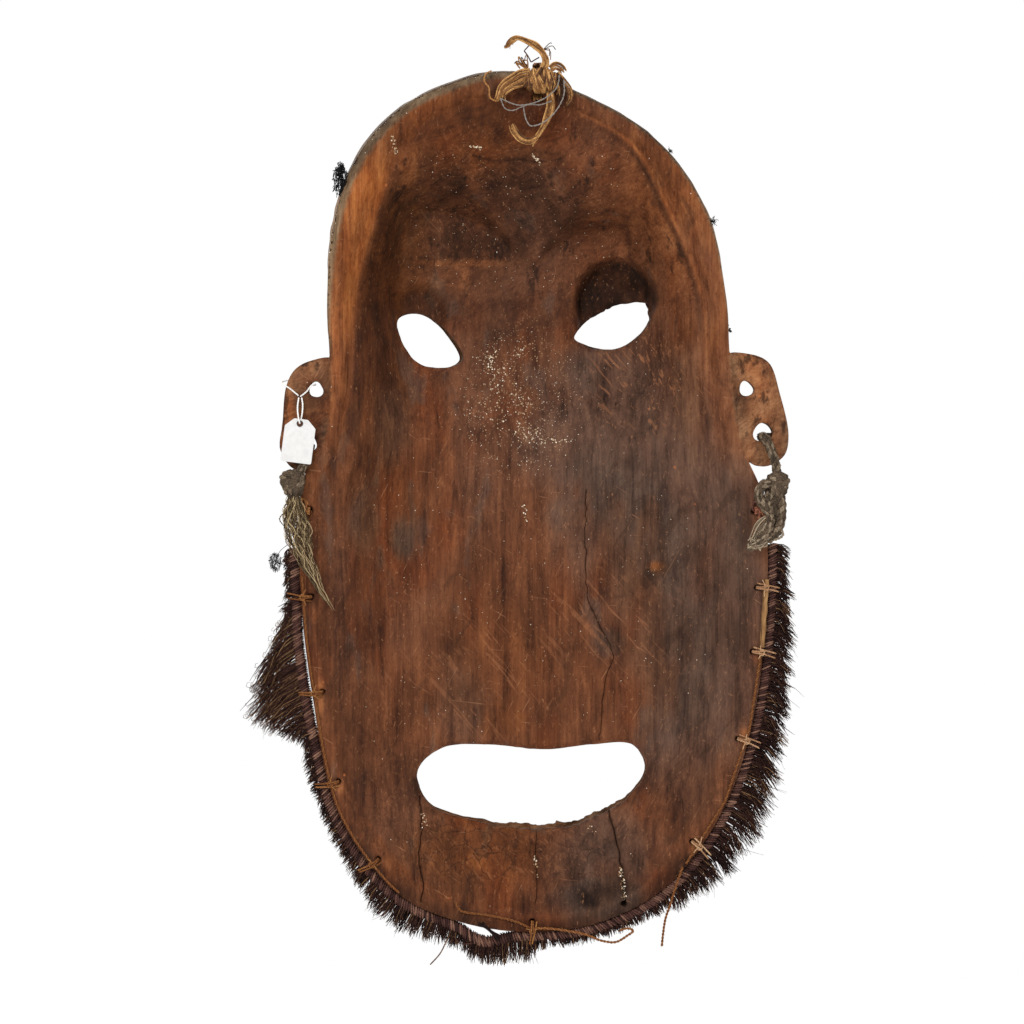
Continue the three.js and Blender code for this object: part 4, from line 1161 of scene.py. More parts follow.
class Shape:
    """Points, faces and one tint for each point, gathered in millimetres before they become an object."""

    def __init__(self):
        self.verts = []
        self.faces = []
        self.tints = []

    def loft(self, rings, tint):
        """Joins rings of points into a closed skin. tint is one number or one for each ring."""
        start = len(self.verts)
        sides = len(rings[0])
        for i, points in enumerate(rings):
            self.verts += [tuple(p) for p in points]
            self.tints += [tint if np.isscalar(tint) else tint[i]] * sides
        for i in range(len(rings) - 1):
            for k in range(sides):
                a = start + i * sides + k
                b = start + i * sides + (k + 1) % sides
                self.faces.append((a, b, b + sides, a + sides))
        self.faces.append(tuple(start + k for k in reversed(range(sides))))
        end = start + (len(rings) - 1) * sides
        self.faces.append(tuple(end + k for k in range(sides)))

    def tube(self, line, radius, sides=6, tint=0.5):
        """A round cord. radius is one number or one for each point."""
        line = np.asarray(line, float)
        _, normals, sideways = frames_along(line)
        radii = np.broadcast_to(radius, (len(line),))
        turns = np.linspace(0, 2 * math.pi, sides, endpoint=False)
        rings = [
            p + r * (np.cos(turns)[:, None] * n + np.sin(turns)[:, None] * b)
            for p, r, n, b in zip(line, radii, normals, sideways)
        ]
        self.loft(rings, tint)

    def plies(self, line, radius, count, pitch, sides=6, tint=0.5, spread=0.12, phase=0.0):
        """count strands twisted together, as thick overall as radius. Returns each strand's line."""
        line = np.asarray(line, float)
        _, normals, sideways = frames_along(line)
        along = distances_along(line)
        inner = radius * (0.5 if count == 2 else 0.53)
        strands = []
        for k in range(count):
            turn = 2 * math.pi * (along / pitch + k / count) + phase
            out = radius - inner
            strand = line + out * (np.cos(turn)[:, None] * normals + np.sin(turn)[:, None] * sideways)
            strands.append(strand)
            if sides:
                self.tube(strand, inner, sides, tint + random.uniform(-spread, spread))
        return strands, inner

    def cable(self, line, radius, count=3, pitch=17.0, yarns=4, tint=0.5):
        """A rope: twisted strands, each of yarns twisted the other way."""
        strands, inner = self.plies(line, radius, count=count, pitch=pitch, sides=0)
        for strand in strands:
            self.plies(
                strand, inner * 1.06, count=yarns, pitch=-pitch * 0.62, sides=5, tint=tint, spread=0.25,
                phase=random.uniform(0, 6),
            )

    def fuzz(self, line, radius, count, length, thickness=0.12, tint=0.6, bend=0.5):
        """Loose hairs standing off a cord."""
        line = np.asarray(line, float)
        tangents, normals, sideways = frames_along(line)
        for _ in range(count):
            i = random.randrange(len(line))
            turn = random.uniform(0, 2 * math.pi)
            out = math.cos(turn) * normals[i] + math.sin(turn) * sideways[i]
            way = tangents[i] * random.choice((-1, 1))
            size = length * random.uniform(0.4, 1)
            points = [
                line[i] + out * radius * 0.7,
                line[i] + out * (radius + size * 0.3) + way * size * bend * 0.5,
                line[i] + out * (radius + size * 0.5 * random.random()) + way * size * bend,
            ]
            sizes = [thickness, thickness * 0.8, thickness * 0.3]
            self.tube(points, sizes, 3, tint + random.uniform(-0.2, 0.2))

    def strip(self, line, half_width, half_thickness, facing=(0, 1, 0), tint=0.5, ridges=0.22, seed=0.0):
        """A ridged strip of bark. half_width is one number or one for each point."""
        line = np.asarray(line, float)
        _, normals, sideways = frames_along(line, facing)
        along = distances_along(line)
        sides = 18
        turns = np.linspace(0, 2 * math.pi, sides, endpoint=False)
        widths = np.broadcast_to(half_width, (len(line),))
        ridge = wander(np.arange(sides) * 1.7, np.zeros(sides), 1.1, seed + 3)
        rings = []
        tints = []
        for i, p in enumerate(line):
            wobble = wander(np.arange(sides) * 1.0, np.full(sides, along[i]), (1.3, 7), seed)
            size = 1 + ridges * (ridge + wobble)
            across = np.sign(np.cos(turns)) * np.abs(np.cos(turns)) ** 0.8 * widths[i] * size
            curl = 0.16 * widths[i] * (np.cos(turns) ** 2) * math.sin(along[i] * 0.12 + seed)
            deep = np.sin(turns) * half_thickness * size * 1.2 + curl
            rings.append(p + across[:, None] * sideways[i] + deep[:, None] * normals[i])
            tints.append(tint + 0.22 * float(wander(along[i], seed * 9, 6, 5)))
        self.loft(rings, tints)

    def fibres(
        self, line, half_widths, depth=0.8, count=12, radius=0.5, tint=0.5, facing=(0, 1, 0), ragged=0.25
    ):
        """A flat strip of bark as a bundle of its fibres, some of which stop short of its end."""

        def along_noise(fibre_seed, size, seed):
            return wander(along, np.full(len(line), fibre_seed), size, seed)

        line = np.asarray(line, float)
        _, normals, sideways = frames_along(line, facing)
        along = distances_along(line)
        share = along / along[-1]
        widths = np.interp(share, np.linspace(0, 1, len(half_widths)), half_widths)
        for k in range(count):
            across = -1 + 2 * (k + 0.5) / count + random.uniform(-0.1, 0.1)
            last = max(4, int(len(line) * (1 - ragged * random.random() ** 2)))
            first = int(len(line) * 0.1 * ragged * random.random())
            sway = across + 0.16 * along_noise(k * 3.1, 9, 2)
            rise = depth * (0.5 * math.cos(across * 1.4) + 0.55 * along_noise(k * 5.3, 7, 5))
            points = line + (sway * widths)[:, None] * sideways + rise[:, None] * normals
            size = radius * random.uniform(0.7, 1.35)
            sizes = size * (0.9 + 0.3 * along_noise(k * 1.9, 4, 7))
            sizes = sizes * smoothstep(-0.3, 1.0, np.linspace(1, 0, len(line)) * 6)
            shade = tint + random.uniform(-0.3, 0.3)
            tints = shade + 0.2 * along_noise(k * 2.3, 5, 9)
            self.tube(points[first:last], sizes[first:last], 6, list(tints[first:last]))

    def crumb(self, centre, size, tint):
        """A small angular grain."""
        start = len(self.verts)
        for axis in range(3):
            for way in (1, -1):
                corner = np.array([random.uniform(-0.35, 0.35) for _ in range(3)])
                corner[axis] = way * random.uniform(0.6, 1.2)
                self.verts.append(tuple(np.array(centre) + corner * size))
        self.tints += [tint] * 6
        for a in (0, 1):
            for b in (2, 3):
                for c in (4, 5):
                    face = (start + a, start + b, start + c)
                    self.faces.append(face if (a + b + c) % 2 == 0 else tuple(reversed(face)))

    def lump(self, centre, half, rough=0.12, folds=0.0, tint=0.5, seed=0.0, rows=22, sides=34):
        """A rounded lump with a wrinkled skin."""
        rings = []
        for i in range(1, rows):
            tilt = math.pi * i / rows
            turns = np.linspace(0, 2 * math.pi, sides, endpoint=False)
            bend = np.abs(np.abs(turns - math.pi) - math.pi)
            size = 1 + rough * wander(bend * 3, np.full(sides, tilt * 3), 0.9, seed)
            fold = wander(bend * 6 + tilt * 1.5, np.full(sides, tilt * 1.6), 0.8, seed + 2)
            size = size + folds * np.abs(fold)
            x = half[0] * np.sin(tilt) * np.cos(turns) * size
            y = half[1] * np.sin(tilt) * np.sin(turns) * size
            z = half[2] * math.cos(tilt) * size
            rings.append(np.stack([x, y, z], axis=1) + centre)
        self.loft(rings[::-1], tint)

    def make(self, name, material, body, slot_name, nodes=()):
        tint = {"tint": self.tints}
        return make_object(name, self.verts, self.faces, material, body, nodes, tint)


def route(points, step=1.5):
    """A smooth line through 3-D points."""
    return resample(spline(points), step)


def fibre_material(name, dark, middle, light, roughness=0.85, grain=900, specular=0.2, bump=0.0003):
    """Plant fibre: a dark to light range set by each strand's tint, with finer noise over it."""
    g = Graph(name, roughness, specular)
    noise = g.noise(grain, detail=3, roughness=0.6)
    value = g.math("ADD", g.attribute("tint"), g.times(g.math("SUBTRACT", noise, 0.5), 0.9))
    colour = g.ramp(value, (0.08, dark), (0.5, middle), (0.92, light))
    g.bump(noise, bump, 0.6)
    return g.colour(colour)


# ---------------------------------------------------------------- fringe

HEADER = {"offset": 7.4, "half_width": 4.6, "half_depth": 4.5, "drop": 7}
# Where the header's three lengths meet, and where it sags away from the wood.
HEADER_ENDS = [(190, -375), (108, -652), (-104, -650), (-190, -372)]
SAG = {"at": (38, -680), "width": 0.0098, "depth": 8}
# How far the fringe reaches past its header: (x, z, reach) round the outline.
REACH = [
    (190, -375, 5), (186, -405, 6), (185, -424, 12), (183, -438, 40), (181, -450, 52), (178, -476, 56),
    (174, -503, 32), (170, -525, 9), (158, -575, 6), (140, -612, 7), (108, -652, 19), (90, -661, 19),
    (72, -671, 15), (47, -678, 12), (34, -681, 16), (3, -683, 18), (-5, -683, 8), (-12, -683, 5),
    (-76, -668, 5), (-96, -655, 8), (-110, -645, 15), (-135, -615, 27), (-153, -586, 32),
    (-168, -545, 29), (-178, -511, 25), (-186, -460, 22), (-189, -410, 16), (-190, -372, 10),
]
# The fringe's parts: name, start and end.
FRINGE_PARTS = [
    ("left_upper", (190, -375), (184, -424)), ("left_flare", (184, -424), (172, -512)),
    ("left_lower", (172, -512), (138, -616)), ("bottom_left", (138, -616), (66, -673)),
    ("bottom", (66, -673), (-24, -681)), ("bottom_right", (-24, -681), (-104, -650)),
    ("right_lower", (-104, -650), (-152, -590)), ("right_middle", (-152, -590), (-180, -500)),
    ("right_upper", (-180, -500), (-190, -372)),
]
# Loose threads and twigs in the fringe: their lines, radius and tint.
LOOSE_THREADS = {
    "bottom_left": [([(68, -688), (74, -700), (82, -709)], 0.55, 0.6)],
    "bottom": [
        ([(43, -676), (36, -680), (27, -689)], 1.3, 0.05),
        ([(40, -675), (33, -682), (26, -686)], 0.9, 0.1),
        ([(63, -686), (58, -692), (48, -692)], 0.45, 0.5),
    ],
}
STRANDS_PER_MM = 9
HITCH_PITCH = 2.0


def header_offset(u):
    """How far out from the outline the header runs; it sags away from the wood at SAG."""
    away = (u - nearest_u(*SAG["at"])) / SAG["width"]
    return HEADER["offset"] + SAG["depth"] * math.exp(-away * away)


def header_point(u, offset=0.0, lift=0.0):
    """Point in the header band, offset outwards from its middle and lifted towards the back."""
    (x, z), outward = rim_point(u)
    slack = -1.7 + 2.1 * float(smoothstep(-415, -450, z) * smoothstep(-535, -505, z)) * (x > 0)
    out = header_offset(u) - 2.2 + slack + offset
    x, z = x + outward[0] * out, z + outward[1] * out
    y = float(profile(RIM_Y, z)) - HEADER["drop"] + lift
    return np.array([x, y, z]), np.array([outward[0], 0, outward[1]])


reach_stations = sorted((nearest_u(x, z), reach) for x, z, reach in REACH)


def reach_at(u):
    """How far the fringe reaches past the header."""
    return float(np.interp(u, [s[0] for s in reach_stations], [s[1] for s in reach_stations]))


def droop(outward, weight=0.75):
    """Way that a tuft points: outwards, and down where it leaves the side."""
    way = outward + np.array([0, 0, -weight * (1 - abs(outward[2]))])
    return way / np.linalg.norm(way)


def strand(shape, u, push, length_share, tint, thickness=0.34, lean=0.0, stray=0.0, arch=0.75, curl=0.0):
    """One fibre from the header.

    push is its place across the band's depth, from -1 to 1. arch is how straight out it starts before
    it hangs. curl is the size of a hook at its tip.
    """
    root, outward = header_point(u, random.uniform(-1.5, 4.2), push * 3.4)
    way = droop(outward, 0.75 + lean)
    sideways = np.cross(way, (0, 1, 0))
    length = reach_at(u) * length_share + 3
    fan = np.array([0, push * 0.1 + random.uniform(-0.12, 0.12), 0])
    drift = random.uniform(-0.14, 0.14) + stray
    middle = root + (outward * arch + way * (1 - arch) + fan * 0.5) * length * 0.5
    middle = middle + sideways * drift * length * 0.2
    end = root + (way + fan + sideways * drift) * length
    bow = sideways * random.uniform(-0.05, 0.05) * length
    points = [root, (root + middle) / 2 + bow * 0.3, middle, (middle + end) / 2 + bow, end]
    sizes = [1, 1, 0.95, 0.8, 0.35]
    if curl:
        points += [end + (sideways * 0.8 + way * 0.5) * curl, end + (sideways * 1.3 - way * 0.3) * curl]
        points.append(end + (sideways * 0.9 - way * 1.0) * curl)
        sizes = [1, 1, 0.95, 0.9, 0.8, 0.7, 0.6, 0.35]
    shape.tube(points, thickness * np.array(sizes), 3, tint)


def flare_lean(u):
    """The flare's long fibres hang steeply at its top and stand further out at its foot."""
    _, z = rim_point(u)[0]
    return float(0.42 - 0.5 * smoothstep(-440, -500, z))


# How the short fringe and its long flare differ: the gap between clumps, how much their directions
# spread, the tint, the share of pale and of curled fibres, and the arch of each fibre.
SHORT = {"gap": 3.6, "spread": 1.0, "tint": 0.28, "pale": 0.1, "curled": 0, "arch": 0.75, "flare": 0}
FLARE = {
    "gap": 4.2, "spread": 0.4, "tint": 0.28 + 0.14, "pale": 0.15, "curled": 0.16, "arch": 0.3, "flare": 1,
}


def clump(shape, style, first, last, middle):
    """A tuft of fibres that lean the same way."""
    lean = random.uniform(-0.25, 0.3) * style["spread"] + flare_lean(middle) * style["flare"]
    size = random.uniform(0.78, 1.04)
    stray = random.uniform(-0.16, 0.16) * style["spread"]
    shade = random.uniform(-0.12, 0.12)
    for _ in range(int(STRANDS_PER_MM * style["gap"])):
        u = middle + random.gauss(0, 0.45) * style["gap"] / outline_along[-1]
        u = min(max(u, first), last)
        share = size * random.uniform(0.8, 1.0)
        share = share * (random.uniform(0.3, 0.8) if random.random() < 0.4 else 1)
        pale = random.random() < style["pale"]
        tint = style["tint"] + shade + random.uniform(-0.18, 0.2) + 0.34 * pale
        thickness = random.uniform(0.28, 0.5)
        curled = style["curled"] and random.random() < style["curled"]
        curl = random.uniform(1.5, 4) if curled else 0
        strand(
            shape, u, random.uniform(-1, 1), share, tint=tint, thickness=thickness, lean=lean,
            stray=stray, arch=style["arch"], curl=curl,
        )


def build_fringe(material):
    """The fringe's tufts, with a few longer stray fibres and loose threads."""
    for name, start, end in FRINGE_PARTS:
        shape = Shape()
        first, last = nearest_u(*start), nearest_u(*end)
        arc = (last - first) * outline_along[-1]
        flare = name == "left_flare"
        style = FLARE if flare else SHORT
        clumps = int(arc / style["gap"])
        for c in range(clumps):
            clump(shape, style, first, last, first + (last - first) * (c + random.random()) / clumps)
        for _ in range(max(3, int(arc / 14))):
            u = random.uniform(first, last)
            share = random.uniform(0.85, 1.0) if flare else random.uniform(1.05, 1.25)
            aside = random.uniform(-0.5, 0.5) * (0.3 if flare else 1.0)
            strand(
                shape, u, random.uniform(-1, 1), share, tint=0.5, thickness=0.2, lean=0.4 * flare,
                stray=aside,
            )
        for points, radius, tint in LOOSE_THREADS.get(name, []):
            shape.tube(route([(x, -8, z) for x, z in points], 1.2), radius, 5, tint)
        node = f"fringe_{name}"
        shape.make(f"{node}_fibres", material, "mask", "fringe_fibre", [node])


HITCH_ARC = np.linspace(-1.05, 1.08, 7)
HITCH_SIZES = np.array([0.4, 0.8, 1.05, 1.15, 1.1, 0.85, 0.4])


def hitch(shape, u, side, first, last):
    """One slanted turn of cord over the header, on its back (side 1) or its front (side -1)."""
    half_width, half_depth = HEADER["half_width"], HEADER["half_depth"]
    slant = 2.2 + random.uniform(-0.7, 0.7)
    shade = random.uniform(0.2, 0.78)
    points = []
    for t in HITCH_ARC:
        place = min(max(u + slant * t / outline_along[-1], first), last)
        rise = half_depth * math.sqrt(max(0.0, 1.1 - t * t * 0.9)) * 0.9 + 0.3
        points.append(header_point(place, t * half_width, side * rise)[0])
    shape.tube(points, random.uniform(0.72, 1.0) * HITCH_SIZES, 5, shade)


def build_headers(material):
    """The fringe's band: a core under two rows of tight hitches on each side."""
    ends = [nearest_u(*at) for at in HEADER_ENDS]
    across, deep = HEADER["half_width"], HEADER["half_depth"]
    turns = np.linspace(0, 2 * math.pi, 12, endpoint=False)
    for name, first, last in zip(("left", "bottom", "right"), ends, ends[1:]):
        shape = Shape()
        arc = (last - first) * outline_along[-1]
        shape.loft([
            [header_point(u, math.cos(t) * across * 0.84, math.sin(t) * deep * 0.84)[0] for t in turns]
            for u in np.linspace(first, last, max(8, int(arc / 3)))
        ], 0.24)
        count = int(arc / HITCH_PITCH)
        for k in range(count):
            for side in (1, -1):
                hitch(shape, first + (last - first) * (k + 0.5) / count, side, first, last)
        line = np.array([header_point(u)[0] for u in np.linspace(first, last, 400)])
        shape.fuzz(line, across * 0.9, count=int(arc * 1.3), length=5, thickness=0.14, tint=0.4)
        node = f"fringe_header_{name}"
        shape.make(f"{node}_hitches", material, "mask", "fringe_fibre", [node])


# ---------------------------------------------------------------- cords round the rim

RIM_CORD = {"radius": 1.1, "lift": 1.8, "inset": 2.0}
TAIL_Y = -5.8
RIM_CORD_BOTTOM = [(62, -658), (58, -665), (36, -669), (14, -674), (2, -679.4)]
BOTTOM_TAIL = [
    (-3, -679.6), (-14, -680), (-29, -682), (-43, -685), (-56, -690), (-67, -691), (-76, -686),
    (-81, -682), (-76, -680), (-70, -682),
]
RIGHT_TAIL = [
    (-120.5, -631), (-117, -641), (-114, -650), (-111, -660), (-107, -672), (-105, -684), (-104, -694),
]
BOTTOM_TAIL_LENGTH = 0.098
RIGHT_TAIL_LENGTH = 0.066


def rim_line(start, end, inset, lift):
    """A line that follows the rim a little inside its outline."""
    first, last = nearest_u(*start), nearest_u(*end)
    points = []
    for u in np.linspace(first, last, max(4, int((last - first) * outline_along[-1] / 2))):
        (x, z), _ = rim_point(u, -inset - 0.5 * float(wander(u * 900, 0, 14, 6)))
        points.append((x, float(profile(RIM_Y, z)) + lift, z))
    return resample(points, 1.0)


def build_rim_cords(material, cane):
    """Twisted cords laid along the rim, their two loose tails and a strip of cane."""
    size, lift, inset = RIM_CORD["radius"], RIM_CORD["lift"], RIM_CORD["inset"]
    for name, start, end in (("left", (186, -397), (108, -652)), ("right", (-187, -461), (-124, -629))):
        shape = Shape()
        line = rim_line(start, end, inset, lift)
        shape.plies(line, size, count=2, pitch=5.5, sides=6, tint=0.5, spread=0.15)
        shape.fuzz(line, size * 0.8, count=len(line) // 5, length=3, thickness=0.09, tint=0.7)
        shape.make(f"rim_cord_{name}_twist", material, "mask", "cord", [f"rim_cord_{name}"])
    for name, points, length in (
        ("bottom", RIM_CORD_BOTTOM, None), ("bottom_tail", BOTTOM_TAIL, BOTTOM_TAIL_LENGTH),
        ("right_tail", RIGHT_TAIL, RIGHT_TAIL_LENGTH),
    ):
        shape = Shape()
        line = route([(x, TAIL_Y, z) for x, z in points], 0.8)
        shape.plies(line, size, count=2, pitch=5.5, sides=6, tint=0.5, spread=0.15)
        shape.fuzz(line[3:-3], size * 0.8, count=len(line) // 5, length=2.0, thickness=0.09, tint=0.7)
        for _ in range(5 if length else 0):
            frayed = [random.uniform(-1.5, 1.5), random.uniform(-0.5, 0.5), random.uniform(-1.5, 1)]
            shape.tube([line[-3], line[-1], line[-1] + np.array(frayed)], [0.4, 0.3, 0.1], 4, 0.6)
        cord = shape.make(f"rim_cord_{name}_twist", material, "mask", "cord", [f"rim_cord_{name}"])
    shape = Shape()
    line = rim_line((-187.5, -455), (-188, -400), inset - 0.4, lift + 0.2)
    shape.strip(
        line, half_width=1.9, half_thickness=0.8, facing=(0, 1, 0), tint=0.5, ridges=0.24, seed=4,
    )
    shape.strip(
        line + (1.5, 0.3, 0), half_width=0.7, half_thickness=0.5, facing=(0, 1, 0), tint=0.25,
        ridges=0.2, seed=6,
    )
    shape.make("cane_strip", cane, "mask", "cane", ["cane_strip_right"])


def tie_route(at, radius, cord_height):
    """One turn of a tie: up through the land, over the cords and the header, in from the side."""
    u = nearest_u(*at)
    (x, z), outward = rim_point(u)
    y = float(profile(RIM_Y, z))
    over = y + cord_height + radius + 0.4
    out = radius + 0.6
    section = [
        (-7.8, y - 4.5), (-8.6, y + 0.6), (-7.0, over - 0.6), (-4.6, over), (-2.6, over + 0.2),
        (-0.6, over - 0.3), (out, y + 0.6), (out + 0.3, y - 5), (out, y - 11.4),
    ]
    flat = np.array([outward[0], 0, outward[1]])
    points = [np.array([x, 0, z]) + flat * offset + np.array([0, h, 0]) for offset, h in section]
    return points, flat, (x, y, z)


def tie_cord(shape, line, tint, radius=0.8):
    """A thin two-ply cord."""
    shape.plies(line, radius, count=2, pitch=3.4, sides=5, tint=tint, spread=0.12)


def build_lashing(at):
    """Two turns round the cords, two over the header, a loop for the knot and two short tails."""
    shape = Shape()
    points, flat, (x, y, z) = tie_route(at, 0.9, 3.7)
    along = np.array([-flat[2], 0, flat[0]])
    for turn in (-0.9, 0.9):
        skew = turn * 0.7
        line = route([p + along * (turn + skew * (i - 4) * 0.25) for i, p in enumerate(points)], 0.9)
        tie_cord(shape, line, 0.5 + 0.1 * turn)
    header_y = y - HEADER["drop"]
    over_header = [(-8.4, y - 1), (-7, y + 1.8), (-2, y + 3.2), (2.5, y + 0.6), (6, header_y + 5.4)]
    over_header += [(10, header_y + 3.4), (11, header_y - 1)]
    for turn in (-1.6, 1.2):
        lean = random.uniform(2.5, 5)
        line = route([
            np.array([x, 0, z]) + flat * out + np.array([0, h, 0])
            + along * (turn + lean * (out + 8) / 18 - 2)
            for out, h in over_header
        ], 0.9)
        tie_cord(shape, line, 0.5 + random.uniform(-0.15, 0.2), 0.85)
    knot = np.array([x, y + 4.4, z]) - flat * 1.6
    loop = [
        knot + along * 2.2 * math.cos(t) + flat * 2.0 * math.sin(t)
        + np.array([0, 0.5 * math.sin(2 * t), 0])
        for t in np.linspace(0, 2 * math.pi, 16)
    ]
    tie_cord(shape, resample(loop, 0.8), 0.55)
    for way in (1, -1):
        tail = [
            knot, knot + along * way * 3 - flat * 1.2 + (0, 0.4, 0),
            knot + along * way * (5 + 3 * random.random()) - flat * random.uniform(0, 4),
        ]
        shape.tube(route(tail, 1.0), 0.38, 5, 0.62)
    return shape


def build_bark_tie(at):
    """Three turns of a bark strip, three flat loops of its knot and a curled tail."""
    shape = Shape()
    points, flat, (x, y, z) = tie_route(at, 1.3, 1.0)
    along = np.array([-flat[2], 0, flat[0]])
    for turn in (-1.3, 0.4, 1.7):
        line = route([p + along * (turn + 0.3 * math.sin(i + turn)) for i, p in enumerate(points)], 1.0)
        facing = tuple(flat * 0.3 + np.array([0, 1, 0]))
        shape.strip(
            line, half_width=0.85, half_thickness=0.6, facing=facing, tint=0.45 + 0.1 * turn,
            ridges=0.2, seed=turn,
        )
    for turn, size in ((0, 4.6), (1.1, 3.6), (2.3, 5.2)):
        middle = np.array([x, y + 2.4 + 0.5 * turn, z]) - flat * (7.5 - turn) + along * (turn * 3 - 3)
        loop = [
            middle + along * size * math.cos(t + turn) + flat * size * 0.62 * math.sin(t + 2 * turn)
            + np.array([0, 0.9 * math.sin(t), 0])
            for t in np.linspace(0, 5.4, 12)
        ]
        shape.strip(
            route(loop, 1.0), half_width=0.75, half_thickness=0.5, facing=(0, 1, 0),
            tint=0.35 + 0.2 * turn, ridges=0.2, seed=turn,
        )
    curl = np.array([x, y + 2.6, z]) - flat * 5
    tail = [curl, curl + along * 5 - flat + (0, 1, 0), curl + along * 9 + flat * 2]
    tail.append(curl + along * 8 + flat * 5)
    shape.strip(
        route(tail, 1.0), half_width=0.9, half_thickness=0.5, facing=(0, 1, 0), tint=0.5, ridges=0.2,
        seed=2,
    )
    return shape


def build_ties(light, gold, bark):
    """The lashings that hold the fringe on, and the bark ties at its two upper ends."""
    for number, at in enumerate(LASHINGS, 1):
        material = light if at[0] < 0 else gold
        node = f"lashing_{number}"
        build_lashing(at).make(f"{node}_turns", material, "mask", "cord", [node])
    for side, at, material in zip(("left", "right"), BARK_TIES, (gold, bark)):
        node = f"bark_tie_{side}"
        build_bark_tie(at).make(f"{node}_turns", material, "mask", "bark_strip", [node])


# ---------------------------------------------------------------- ear ropes

ROPE_RADIUS = 4.0
# The stop knot sits out from and below its hole, clear of the carving's side when the rope swings.
STOP_KNOT = {"out": 5.2, "y": -28.6, "down": 4.6, "half": (6.6, 5, 6.2)}
# The tassel's middle line, and its half widths along it.
TASSEL = [(190, 1, -331), (189, 0.6, -354), (184, 1, -377), (173, 1, -401), (158, 1, -427)]
TASSEL_WIDTHS = [7.5, 11, 11, 8.5, 5.5, 3.2, 1.8]
TASSEL_YARNS = 210
ROPE_ENDS = [
    [(-197, 1.5, -328), (-199, 2, -340), (-198.5, 2, -352), (-195, 2, -362), (-188, 2, -368)],
    [(-189, 2.4, -330), (-188, 2.6, -342), (-190, 2.6, -354), (-186, 2.6, -364), (-180, 2.6, -370)],
    [(-193, 3.4, -322), (-184, 4, -324), (-180.5, 4.2, -332), (-184, 4.2, -340), (-190, 4, -347)],
]
# Each rope: its hole, its way down from the hole as (across, up), and its knot's middle and half sizes.
EAR_ROPES = {
    "left": {
        "hole": (178, -290),
        "lie": [(1.5, -6), (4, -14), (6.5, -22), (9, -27), (11.5, -33)],
        "knot": ((191.5, 1.6, -322.5), (11.5, 8.5, 13)),
    },
    "right": {
        "hole": (-185, -282),
        "lie": [(-2.5, -6), (-6, -14), (-9, -22), (-10.5, -29), (-11.5, -36)],
        "knot": ((-196, 1.2, -323), (10.5, 8.2, 11.5)),
    },
}


def rope_route(side):
    """A rope's line: in from the front through the lug's hole, then down behind it."""
    hole, lie = EAR_ROPES[side]["hole"], EAR_ROPES[side]["lie"]
    low = hole[1] - 3.6
    points = [(hole[0], -22, low), (hole[0], -15, low), (hole[0] + 0.3 * lie[0][0], -9, low)]
    points.append((hole[0] + 0.6 * lie[0][0], -4.6, low - 1))
    points += [(hole[0] + dx, -3.9, hole[1] + dz) for dx, dz in lie]
    return route(points, 1.0)


def trefoil(centre, half, cord_radius, turn=0.0, count=90):
    """A closed overhand knot's line that fills the given half sizes."""
    t = np.linspace(0, 2 * math.pi, count) + turn
    x = (np.sin(t) + 2 * np.sin(2 * t)) / 3
    z = (np.cos(t) - 2 * np.cos(2 * t)) / 3
    y = -np.sin(3 * t)
    room = [max(h - cord_radius, 0.5) for h in half]
    return np.stack([x * room[0], y * room[1] * 0.85, z * room[2]], axis=1) + np.array(centre)


def build_ear_ropes(material, tassel_material):
    """Each ear's rope: its leg, its knot, the stop knot in front and its frayed end."""
    for side, rope in EAR_ROPES.items():
        body = f"{side}_ear_rope"
        shape = Shape()
        line = rope_route(side)
        shape.cable(line, ROPE_RADIUS, count=3, pitch=17, yarns=4, tint=0.45)
        shape.fuzz(line[4:-4], ROPE_RADIUS * 0.8, count=70, length=4.5, thickness=0.12, tint=0.7)
        leg = shape.make(f"{body}_leg", material, body, "rope", [body])

        centre, half = rope["knot"]
        shape = Shape()
        knot_line = trefoil(centre, half, 4.0, 0.6 if side == "left" else 2.0)
        shape.cable(knot_line, 4.1, count=3, pitch=15, yarns=4, tint=0.45)
        # A darker lump inside the knot: painted shade between its strands.
        shape.lump(centre, [h * 0.8 for h in half], rough=0.14, folds=0.12, tint=0.3, seed=5)
        shape.fuzz(knot_line, 2.8, count=90, length=5, thickness=0.12, tint=0.7)
        knot = shape.make(f"{body}_knot_turns", material, body, "rope", [f"{body}_knot"])

        shape = Shape()
        hole_x, hole_z = rope["hole"]
        stop_x = hole_x + math.copysign(STOP_KNOT["out"], hole_x)
        stop = (stop_x, STOP_KNOT["y"], hole_z - STOP_KNOT["down"])
        stop_line = trefoil(stop, STOP_KNOT["half"], 2.6)
        shape.cable(stop_line, 2.4, count=3, pitch=12, yarns=3, tint=0.45)
        # A darker lump inside the stop knot: painted shade between its strands.
        shape.lump(stop, (4.4, 4, 4), rough=0.1, folds=0.1, tint=0.3, seed=8)
        shape.fuzz(stop_line, 2.2, count=40, length=2.4, thickness=0.12, tint=0.7)
        stopper = shape.make(f"{body}_stop_knot", material, body, "rope", [f"{body}_stopper"])

        build_end, end_material = (tassel, tassel_material) if side == "left" else (rope_ends, material)
        tail = build_end().make(f"{body}_frayed_end", end_material, body, "rope", [f"{body}_tail"])


